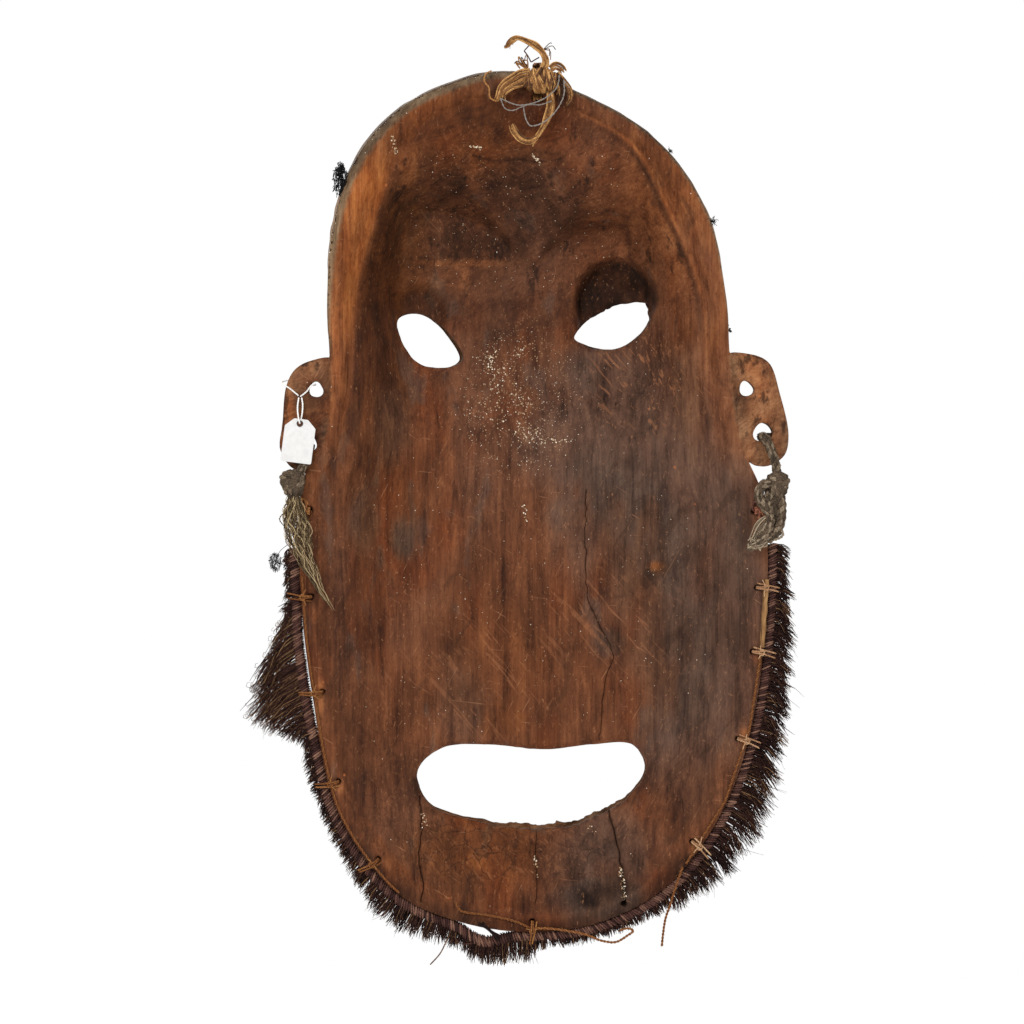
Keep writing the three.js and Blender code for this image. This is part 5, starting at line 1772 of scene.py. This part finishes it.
def tassel():
    """Unlaid yarns that hang and trail from the left knot."""
    shape = Shape()
    middle = route(TASSEL, 2.0)
    share = np.linspace(0, 1, len(middle))
    widths = np.interp(share, np.linspace(0, 1, len(TASSEL_WIDTHS)), TASSEL_WIDTHS)
    for k in range(TASSEL_YARNS):
        reach = 0.2 + 0.8 * random.random() ** (0.9 if k < 24 else 2.4)
        last = max(6, int(reach * (len(middle) - 1)))
        across, deep = random.uniform(-1, 1), random.uniform(-1, 1)
        swing, phase, beat = random.uniform(0.2, 1.1), random.uniform(0, 6), random.uniform(0.1, 0.34)
        points = []
        for i in range(0, last, 2):
            s = share[i]
            wave = math.sin(phase + middle[i][2] * beat) * 0.24 * swing + random.uniform(-0.12, 0.12)
            offset = (across * (0.35 + 0.6 * math.sin(min(s * 5, 1.57))) + wave) * widths[i]
            points.append(middle[i] + np.array([offset, deep * 3.2 * (1 - 0.5 * s), 0.25 * offset]))
        if len(points) < 3:
            continue
        line = route(points, 2.0)
        radius = random.uniform(0.18, 0.42)
        if k % 3 == 0:
            shape.plies(
                line, radius * 1.5, count=2, pitch=4.5, sides=4, tint=random.uniform(0.1, 0.75),
                spread=0.15,
            )
        else:
            shape.tube(line, radius * np.linspace(1, 0.5, len(line)), 5, random.uniform(0.0, 0.95))
    return shape


def rope_ends():
    """Two laid ends and a loop with a frayed tip, below the right knot."""
    shape = Shape()
    shape.lump((-192, 0.5, -338), (7, 3, 17), rough=0.16, folds=0.16, tint=0.25, seed=7)
    for points in ROPE_ENDS:
        line = route(points, 1.0)
        shape.cable(line, 4.2, count=3, pitch=16, yarns=4, tint=0.45)
        shape.fuzz(line, 2.8, count=70, length=5, thickness=0.12, tint=0.7)
    for _ in range(60):
        start = random.choice(ROPE_ENDS)[-1]
        tip = (-177 + random.uniform(-3, 6), random.uniform(0.5, 3.4), -373 + random.uniform(-3, 5))
        middle = (
            (start[0] + tip[0]) / 2 + random.uniform(-6, 4), random.uniform(0, 4.4),
            (start[2] + tip[2]) / 2 + random.uniform(-6, 5),
        )
        thickness = random.uniform(0.35, 0.7)
        shape.tube(route([start, middle, tip], 1.6), thickness, 5, random.uniform(0.4, 0.95))
    loop = [(-196, 3.4, -356), (-200, 3.6, -364), (-192, 4, -368), (-184, 4, -366), (-188, 4, -358)]
    shape.plies(route(loop, 1.0), 1.3, count=2, pitch=5, sides=5, tint=0.7, spread=0.1)
    return shape


# ---------------------------------------------------------------- tag

CINCH = (185.5, -253.5)
TAG_STRING = {"radius": 0.8, "back": -7.0, "front": -23.0, "length": 0.050}
TAG_CARD = {"half_width": 12.3, "half_height": 17.5, "thickness": 0.6, "corner": 7, "turn": -0.13}


# The hairpin of string that carries the card, as (across, y, up) from CINCH.
HAIRPIN = [
    (-1.2, -6.2, -0.9), (-2, -4.4, -7), (-1.6, -1.8, -14), (-0.6, -0.6, -19.2), (0, 1.6, -21.6),
    (0.6, 3.4, -19.6), (1.4, 2.9, -15), (2, -2, -8.5), (1.2, -6.2, -0.9),
]
# The card's eyelet hole, in the card's own plane.
EYELET = {"at": (0.6, 13.8), "hole": 1.9, "ring": 2.2}
CARD_MIDDLE = np.array([CINCH[0] + 1.2, 1.8, CINCH[1] - 35.4])


def on_card(x, y, z):
    """A place on the tilted card."""
    cos, sin = math.cos(TAG_CARD["turn"]), math.sin(TAG_CARD["turn"])
    return CARD_MIDDLE + np.array([x * cos + z * sin, y, -x * sin + z * cos])


def card_edge():
    """The card's outline: two cut corners at the top, and all corners slightly blunt."""
    w, h, c = TAG_CARD["half_width"], TAG_CARD["half_height"], TAG_CARD["corner"]
    right = [
        (w - 1.2, -h), (w - 0.4, -h + 0.4), (w, -h + 1.2), (w, h - c), (w - 0.3, h - c + 0.8),
        (w - c + 0.6, h - 0.4), (w - c - 0.3, h),
    ]
    left = [(-x, z) for x, z in reversed(right)]
    return left[4:] + right + left[:4]


def eyelet_circle(radius, turns, y=0.0):
    """Points round the card's hole."""
    x, z = EYELET["at"]
    return [(x + radius * math.cos(a), y, z + radius * math.sin(a)) for a in turns]


def card_shape():
    """A thin bowed card with a hole, as two skins joined round its edge and its hole."""
    w, h, thick = TAG_CARD["half_width"], TAG_CARD["half_height"], TAG_CARD["thickness"] / 2
    edge = card_edge()
    hole = [(x, z) for x, _, z in eyelet_circle(EYELET["hole"], np.linspace(0, 2 * math.pi, 20)[:-1])]
    middle = Vector(EYELET["at"])
    loops = [range(len(edge)), range(len(edge), len(edge) + len(hole))]
    edges = [(loop[k], loop[(k + 1) % len(loop)]) for loop in loops for k in range(len(loop))]
    flat, _, triangles, _, _, _ = delaunay_2d_cdt([Vector(p) for p in edge + hole], edges, [], 0, 1e-5)
    centres = [sum((Vector(flat[i]) for i in f), Vector((0, 0))) / 3 for f in triangles]
    triangles = [f[:] for f, m in zip(triangles, centres) if (m - middle).length > 1.8]
    shape = Shape()
    for side in (1, -1):
        start = len(shape.verts)
        for x, z in (tuple(v) for v in flat):
            bow = 0.35 * math.cos(x / w * 1.3) - 0.25 * (z / h) ** 2
            shape.verts.append(tuple(on_card(x, bow + side * thick, z)))
        shape.tints += [0.6] * len(flat)
        for a, b, d in triangles:
            up = (flat[b] - flat[a]).cross(flat[d] - flat[a]) < 0
            shape.faces.append(tuple(start + i for i in ((a, b, d) if up == (side > 0) else (a, d, b))))
    total = len(flat)
    for loop, outer in zip(loops, (True, False)):
        for k, i in enumerate(loop):
            j = loop[(k + 1) % len(loop)]
            quad = (i, i + total, j + total, j)
            shape.faces.append(quad if outer else tuple(reversed(quad)))
    return shape


def build_tag(cotton, card_material, eyelet):
    """A blank card on a hairpin of string, which hangs from a string round the ear."""
    cx, cz = CINCH
    back, front = TAG_STRING["back"], TAG_STRING["front"]
    hole_x, hole_z = EAR_HOLES[0][:2]
    round_ear = [
        (cx, back, cz), (cx - 5, back, cz + 4), (hole_x + 3.4, back, hole_z + 3.6),
        (hole_x + 1.2, -10, hole_z + 4), (hole_x + 1, -15, hole_z + 4.2), (hole_x + 1.2, -20, hole_z + 4),
        (hole_x + 4, front, hole_z + 4.4), (186, front, -241), (194, front, -240), (199.4, -20.5, -241),
        (200.4, -15, -242), (199.6, -9.5, -243.4), (194, back, -247), (cx + 1.5, back, cz + 0.8),
    ]
    hairpin = [(cx + dx, y, cz + dz) for dx, y, dz in HAIRPIN]
    for name, points, body, node in (
        ("tag_string_round_ear", round_ear, "mask", "tag_string_ring"),
        ("tag_string_hairpin", hairpin, "tag", "tag_string"),
    ):
        shape = Shape()
        line = route(points, 0.8)
        shape.plies(line, TAG_STRING["radius"], count=2, pitch=2.6, sides=5, tint=0.5, spread=0.1)
        if body == "mask":
            shape.fuzz(line, 0.5, count=30, length=2.4, thickness=0.06, tint=0.6)
        shape.make(name, cotton, body, "cotton", [node])
    card = card_shape().make("tag_card_sheet", card_material, "tag", "card", ["tag_card"])
    card.data.polygons.foreach_set("use_smooth", [False] * len(card.data.polygons))

    shape = Shape()
    for side in (1, -1):
        circle = eyelet_circle(EYELET["ring"], np.linspace(0, 2 * math.pi, 25), side * 0.45 + 0.3)
        shape.tube([on_card(*point) for point in circle], 0.42, 6, 0.2)
    ring_piece = shape.make("tag_eyelet", eyelet, "tag", "card")
    route(hairpin, 1.6) * MM


# ---------------------------------------------------------------- hanger

HANGER_KNOT = ((-6, 5.2, -2), (13.5, 6.5, 10.5))
HANGER_STRAP = [
    (-2.4, -17.5), (-12, -6.5), (-21.5, 3.8), (-24.5, 9.2), (-20, 12), (-10, 12.2), (-3, 11.4),
    (2, 8.8),
]
# Each strip of bark: its line and its half widths along it.
HANGER_STRIPS = {
    "hanger_left_loop": [
        ([(2, 7.5, 3), (9.5, 5.4, 2), (17, 4.8, -2), (25, 3.8, -9), (28, 3.4, -16), (30, 3, -19)],
         [4, 4.4, 3, 1.8]),
        ([(1, 7, -3), (9, 6.4, -5), (16, 5.6, -7), (22, 4.2, -12), (24, 3.4, -18)], [3, 2.6, 2, 1.2]),
        ([(14, 4, 4), (17, 3.6, 0), (18, 3.4, -4)], [1.2, 1.6, 0.8]),
    ],
    "hanger_right_strand": [
        ([(-14, 6, 7), (-18, 5, 9.5), (-23, 4.4, 7), (-25, 4, 3)], [2.6, 3.2, 2.2]),
        ([(-19, 4.4, 4), (-24, 3.8, -2), (-29, 3.4, -10), (-29.5, 3.2, -17), (-26, 3, -23)],
         [1.6, 2.2, 2.4, 1.0]),
        ([(-18, 4.6, -2), (-21, 3.8, -10), (-22, 3.4, -16)], [1.4, 1.6, 0.7]),
    ],
    "hanger_upper_tail": [
        ([(-8, 6, 6), (-10, 6, 13), (-8, 6, 19), (-2, 6.5, 25), (6, 7, 29), (13, 7, 31), (18, 7, 28.5)],
         [3, 2.4, 2.0, 2.6, 2.2, 1.8, 2.6]),
        ([(13, 7, 31), (18, 6.6, 28), (21, 6, 24.5), (24, 6, 24)], [1.6, 2.2, 1.6, 0.6]),
    ],
    "hanger_lower_tail": [
        ([(-13, 5.8, -10), (-14.5, 5, -17), (-13.5, 4.4, -26), (-9, 3.6, -38), (-4, 3, -46),
          (1.5, 2.6, -55)], [2, 3.4, 3.2, 2.2, 1.8, 1.0]),
        ([(-3.5, 3.4, -47.5), (3, 3.8, -50.5), (10, 4, -48), (15, 4.4, -42), (17.5, 4.8, -36)],
         [1.6, 2.6, 2.8, 2.8, 2.4]),
    ],
}
HANGER_WIRES = {
    "hanger_string": [
        (29, 4.2, -19), (34, 4.4, -16), (35, 4, -8), (38.5, 3.4, -3), (37.5, 3, 3), (33, 2.6, 5.5),
    ],
    "hanger_wire_upper": [
        (-21, 9, 2), (-19, 12, -8), (-11, 13, -16), (0, 12.4, -21), (12, 11, -22.5), (26, 8, -17),
    ],
    "hanger_wire_lower": [
        (-24.5, 8, -2), (-24.5, 9, -14), (-18, 10, -27), (-8, 9, -36), (2, 8, -38.5), (6, 7, -32),
        (7.6, 7, -23),
    ],
}
WIRE_LOOP = [
    (26, 8, -17), (22, 8, -25), (16, 8.6, -26.5), (10, 9, -24), (3, 9.6, -22), (-6, 10, -22),
    (-15, 9, -19),
]
DARK_TWIG = [
    (-2, 6, 26), (3.5, 6, 25), (7, 6, 21), (4, 6, 17), (1.5, 6, 12), (-1.5, 6, 14), (-5, 6, 16),
]


def knot_folds():
    """The hanger's knot: a lump wrapped in folded bark fibres."""
    centre, half = np.array(HANGER_KNOT[0], float), HANGER_KNOT[1]
    shape = Shape()
    shape.lump(
        centre, [h * 0.84 for h in half], rough=0.12, folds=0.16, tint=0.32, seed=3, rows=26, sides=48,
    )
    for _ in range(13):
        slide = random.uniform(-0.86, 0.86)
        tilt = random.uniform(-0.9, 0.9)
        points = []
        for t in np.linspace(-1.35, 1.35, 9):
            across = slide * half[0] * 0.9 + math.sin(t) * tilt * half[0] * 0.5
            shrink = math.sqrt(max(0.16, 1 - (across / (half[0] * 1.1)) ** 2))
            rise = math.sin(t) * half[2] * shrink * 0.98
            points.append(centre + (across, math.cos(t) * half[1] * shrink, rise))
        widths = [0.8, random.uniform(1.4, 2.8), random.uniform(1.0, 2.4), 0.8]
        shape.fibres(
            route(points, 1.0), half_widths=widths, depth=1.0, count=6, radius=0.72,
            tint=random.uniform(0.28, 0.66), facing=(0, 1, 0), ragged=0.1,
        )
    return shape


def bark_strips(strips):
    """Strips of bark with stray fibres that lift off them."""
    shape = Shape()
    for points, widths in strips:
        line = route(points, 1.0)
        count = int(6 + 2.6 * max(widths))
        shape.fibres(
            line, half_widths=widths, depth=0.8, count=count, radius=0.52,
            tint=random.uniform(0.4, 0.6), facing=(0.1, 1, 0.1),
        )
        for _ in range(5):
            i = random.randrange(1, max(2, len(line) - 4))
            way = (line[i + 2] - line[i]) * random.uniform(1.0, 2.4)
            aside = np.array([random.uniform(-3, 3), random.uniform(-0.4, 1), random.uniform(-3, 3)])
            bent = [line[i], line[i] + way * 0.5 + aside * 0.6, line[i] + way + aside]
            shape.tube(route(bent, 1.0), 0.2, 4, random.uniform(0.2, 0.9))
    return shape


def upper_twigs(shape):
    """Dark twigs and frayed fibres that stand up from the knot."""
    shape.tube(resample(DARK_TWIG, 1.0), 0.5, 4, -0.2)
    for end in ((-15, 6, 27), (-18, 6, 22), (-14, 6, 14), (-13, 6, 17)):
        bent = ((-8 + end[0]) / 2 - 2.5, 6, (22 + end[2]) / 2 + 3)
        shape.tube(route([(-8, 6, 22), bent, end], 1.0), 0.34, 4, random.uniform(-0.1, 0.5))
    for _ in range(9):
        end = (8 + random.uniform(-6, 8), 5.5 + random.uniform(-1, 1), 12 + random.uniform(-5, 4))
        bent = (random.uniform(4, 14), 6, random.uniform(8, 18))
        line = route([(4, 6, 6), bent, end], 1.0)
        shape.tube(line, random.uniform(0.3, 0.6), 4, random.uniform(-0.1, 0.9))


def right_twigs(shape):
    """Dark fibres that hang beside the knot's right strand."""
    for _ in range(7):
        end = (random.uniform(-31, -20), random.uniform(3, 5), random.uniform(-26, -8))
        bent = (random.uniform(-26, -18), 5, random.uniform(-8, 2))
        line = route([(-17, 6, 4), bent, end], 1.0)
        shape.tube(line, random.uniform(0.3, 0.7), 4, random.uniform(-0.3, 0.3))


def build_hanger(bark, string_material, wire):
    """The strap and knot at the crown, their loose strips, a string and two wires."""
    shape = Shape()
    strap = route([(-4, y, z) for y, z in HANGER_STRAP], 1.0)
    shape.fibres(
        strap, half_widths=[3, 3.4, 3], depth=0.9, count=12, radius=0.7, tint=0.4, facing=(0, 0.5, 1),
    )
    shape.make("hanger_strap_bark", bark, "mask", "bark_strip", ["hanger_strap"])
    knot_folds().make("hanger_knot_folds", bark, "mask", "bark_strip", ["hanger_knot"])
    twigs = {"hanger_upper_tail": upper_twigs, "hanger_right_strand": right_twigs}
    for name, strips in HANGER_STRIPS.items():
        shape = bark_strips(strips)
        if name in twigs:
            twigs[name](shape)
        shape.make(f"{name}_bark", bark, "mask", "bark_strip", [name])
    for name, points in HANGER_WIRES.items():
        shape = Shape()
        line = route(points, 0.8)
        if name == "hanger_string":
            shape.plies(line, 0.8, count=2, pitch=3, sides=5, tint=0.75, spread=0.1)
            shape.fuzz(line, 0.5, count=16, length=3, thickness=0.08, tint=0.7)
            shape.make("hanger_loose_string", string_material, "mask", "cord", [name])
            continue
        shape.plies(line, 0.62, count=2, pitch=7, sides=5, tint=0.5, spread=0.1)
        if name == "hanger_wire_upper":
            shape.plies(route(WIRE_LOOP, 0.8), 0.55, count=2, pitch=7, sides=5, tint=0.55, spread=0.1)
        shape.make(f"{name}_twist", wire, "mask", "wire", [name])


# ---------------------------------------------------------------- dust and fluff

# Evenly scattered grains: how many, across from and to, up from and to, and size from and to.
SCATTERED_GRAINS = [
    (420, (-120, 120), (-520, -210), (0.15, 0.45)), (260, (-70, 100), (-165, -60), (0.15, 0.5)),
]


def build_crumbs(material):
    """Grains of dust and old paint stuck to the hollow's floor, thickest below the eyes."""
    uniform, gauss = random.uniform, random.gauss
    spots = []
    for _ in range(520):
        spread = random.random() ** 0.6
        turn = uniform(0, 2 * math.pi)
        x, z = 6 + math.cos(turn) * 50 * spread, -258 + math.sin(turn) * 60 * spread
        spots.append((x, z, uniform(0.2, 0.55)))
    for middle_x, middle_z, across, up, count in CRUMB_CLUSTERS:
        for _ in range(count):
            spots.append((gauss(middle_x, across), gauss(middle_z, up), uniform(0.35, 1.0)))
    for count, across, up, size in SCATTERED_GRAINS:
        for _ in range(count):
            spots.append((uniform(*across), uniform(*up), uniform(*size)))
    for start, end, width, count in PALE_SCRAPES:
        for _ in range(count):
            t = random.random()
            x, z = (a + (b - a) * t + gauss(0, width) for a, b in zip(start, end))
            spots.append((x, z, uniform(0.5, 1.1)))
    x, z, sizes = np.array(spots).T
    keep = np.ones(len(x), bool)
    for hole in opening_loops:
        keep &= ~inside(hole, x, z)
    keep &= near_openings.distance(x, z) > 4
    x, z, sizes = x[keep], z[keep], sizes[keep]
    shape = Shape()
    for px, y, pz, size in zip(x, back_surface(x, z), z, sizes):
        shape.crumb((px, y + size * 0.3, pz), size, uniform(0.2, 1.0))
    shape.make("dust_crumbs", material, "mask", "wood")


# Bits of lint on the carving's side: across, up and size.
EDGE_LINT = [(-143.5, -113, 3.0), (-157.5, -200, 2.4), (-110, -57, 1.8)]
# Each tuft: middle, half sizes, and its hairs' radii and tints.
TUFTS = {
    "crown": ((153.5, -10, -81), (6, 5, 13), (0.2, 0.45), (0, 0.45)),
    "left": ((206, -13, -386), (5, 4, 7), (0.1, 0.22), (0.2, 0.9)),
}
HAIRS_PER_TUFT = 110


def tangled_hair(centre, half):
    """A short line that wanders inside a tuft."""
    points = []
    p = np.array([random.gauss(0, 0.3) for _ in range(3)]) + (0, 0, random.choice((-0.45, 0.1, 0.5)))
    way = np.array([random.gauss(0, 1) for _ in range(3)])
    for _ in range(6):
        way = way + np.array([random.gauss(0, 0.8) for _ in range(3)])
        way /= np.linalg.norm(way)
        p = p + way * 0.34
        p = p * min(1, random.uniform(0.8, 1.25) / max(1e-6, np.linalg.norm(p)))
        points.append(np.array(centre) + p * half)
    return points


def build_fluff(material):
    """Small dark tufts of fibre caught on the wood's side and in the fringe."""
    for name, (centre, half, radii, tints) in TUFTS.items():
        shape = Shape()
        for _ in range(HAIRS_PER_TUFT):
            shape.tube(tangled_hair(centre, half), random.uniform(*radii), 3, random.uniform(*tints))
        if name == "left":
            for end in ((190, -13, -392), (196, -13, -372)):
                bent = (202, -14, (centre[2] + end[2]) / 2 + 2)
                shape.tube(route([centre, bent, end], 2.0), 0.25, 3, 0.2)
        shape.make(f"fluff_{name}", material, "mask", "fluff", [f"fluff_tuft_{name}"])

    shape = Shape()
    for x, z, size in EDGE_LINT:
        for _ in range(22):
            points = [(x, -7 + random.uniform(-2, 2), z)]
            for _ in range(3):
                px, py, pz = points[-1]
                points.append((
                    px + random.uniform(-0.7, 0.45) * size, py + random.uniform(-0.6, 0.6),
                    pz + random.uniform(-0.7, 0.7) * size,
                ))
            shape.tube(points, random.uniform(0.12, 0.3), 3, random.uniform(0, 0.5))
    shape.make("edge_lint", material, "mask", "fluff")


# Each fibre: its dark, middle and light colours, roughness, grain, specular level and bump height.
FIBRES = {
    "fringe_fibre": ((20, 9, 8), (62, 37, 30), (138, 106, 72), 0.85, 500, 0.12),
    "header_fibre": ((18, 9, 9), (72, 46, 40), (132, 98, 80), 0.9, 900, 0.1),
    "golden_cord": ((56, 28, 12), (112, 68, 36), (168, 120, 70), 0.85, 1400, 0.12),
    "pale_cord": ((92, 58, 38), (154, 114, 82), (206, 174, 138), 0.85, 1400, 0.12),
    "cane": ((64, 40, 20), (126, 90, 52), (168, 130, 84), 0.6, (900, 900, 90), 0.2),
    "rope_fibre": ((30, 24, 19), (92, 77, 62), (152, 136, 114), 0.95, 900, 0.1, 0.0006),
    "tassel_fibre": ((38, 29, 20), (100, 82, 58), (172, 150, 114), 0.95, 1300, 0.1),
    "bark_strip": ((50, 27, 13), (114, 74, 37), (184, 140, 84), 0.7, 800, 0.2),
    "dust_grains": ((120, 84, 56), (168, 138, 106), (226, 212, 190), 0.95, 900, 0.1),
    "red_bark": ((52, 22, 14), (112, 60, 40), (164, 104, 74), 0.6, 900, 0.35),
    "cotton": ((196, 194, 190), (224, 222, 218), (240, 239, 236), 0.95, 2200),
    "card": ((181, 180, 178), (194, 193, 191), (206, 205, 203), 0.9, 300, 0.1, 0.00005),
    "eyelet": ((40, 38, 36), (58, 55, 52), (84, 80, 76), 0.5, 900),
    "wire": ((74, 68, 62), (120, 112, 104), (164, 156, 148), 0.5, 1200, 0.4),
    "fluff": ((8, 8, 9), (24, 24, 26), (70, 70, 72), 0.95, 900),
}


def build_trim():
    """Everything but the wood."""
    made = {name: fibre_material(name, *settings) for name, settings in FIBRES.items()}
    gold = made["golden_cord"]
    build_headers(made["header_fibre"])
    build_fringe(made["fringe_fibre"])
    build_rim_cords(gold, made["cane"])
    build_ties(made["pale_cord"], gold, made["red_bark"])
    build_ear_ropes(made["rope_fibre"], made["tassel_fibre"])
    build_tag(made["cotton"], made["card"], made["eyelet"])
    build_hanger(made["bark_strip"], gold, made["wire"])
    build_fluff(made["fluff"])
    build_crumbs(made["dust_grains"])


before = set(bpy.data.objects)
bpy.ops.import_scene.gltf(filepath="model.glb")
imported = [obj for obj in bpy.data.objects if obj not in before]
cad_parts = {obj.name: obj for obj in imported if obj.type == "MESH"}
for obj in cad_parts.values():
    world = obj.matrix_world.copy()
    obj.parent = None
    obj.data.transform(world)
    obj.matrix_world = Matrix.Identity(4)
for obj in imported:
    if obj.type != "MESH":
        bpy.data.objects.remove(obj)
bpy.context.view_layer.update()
build_wood()
build_trim()
build_stage()
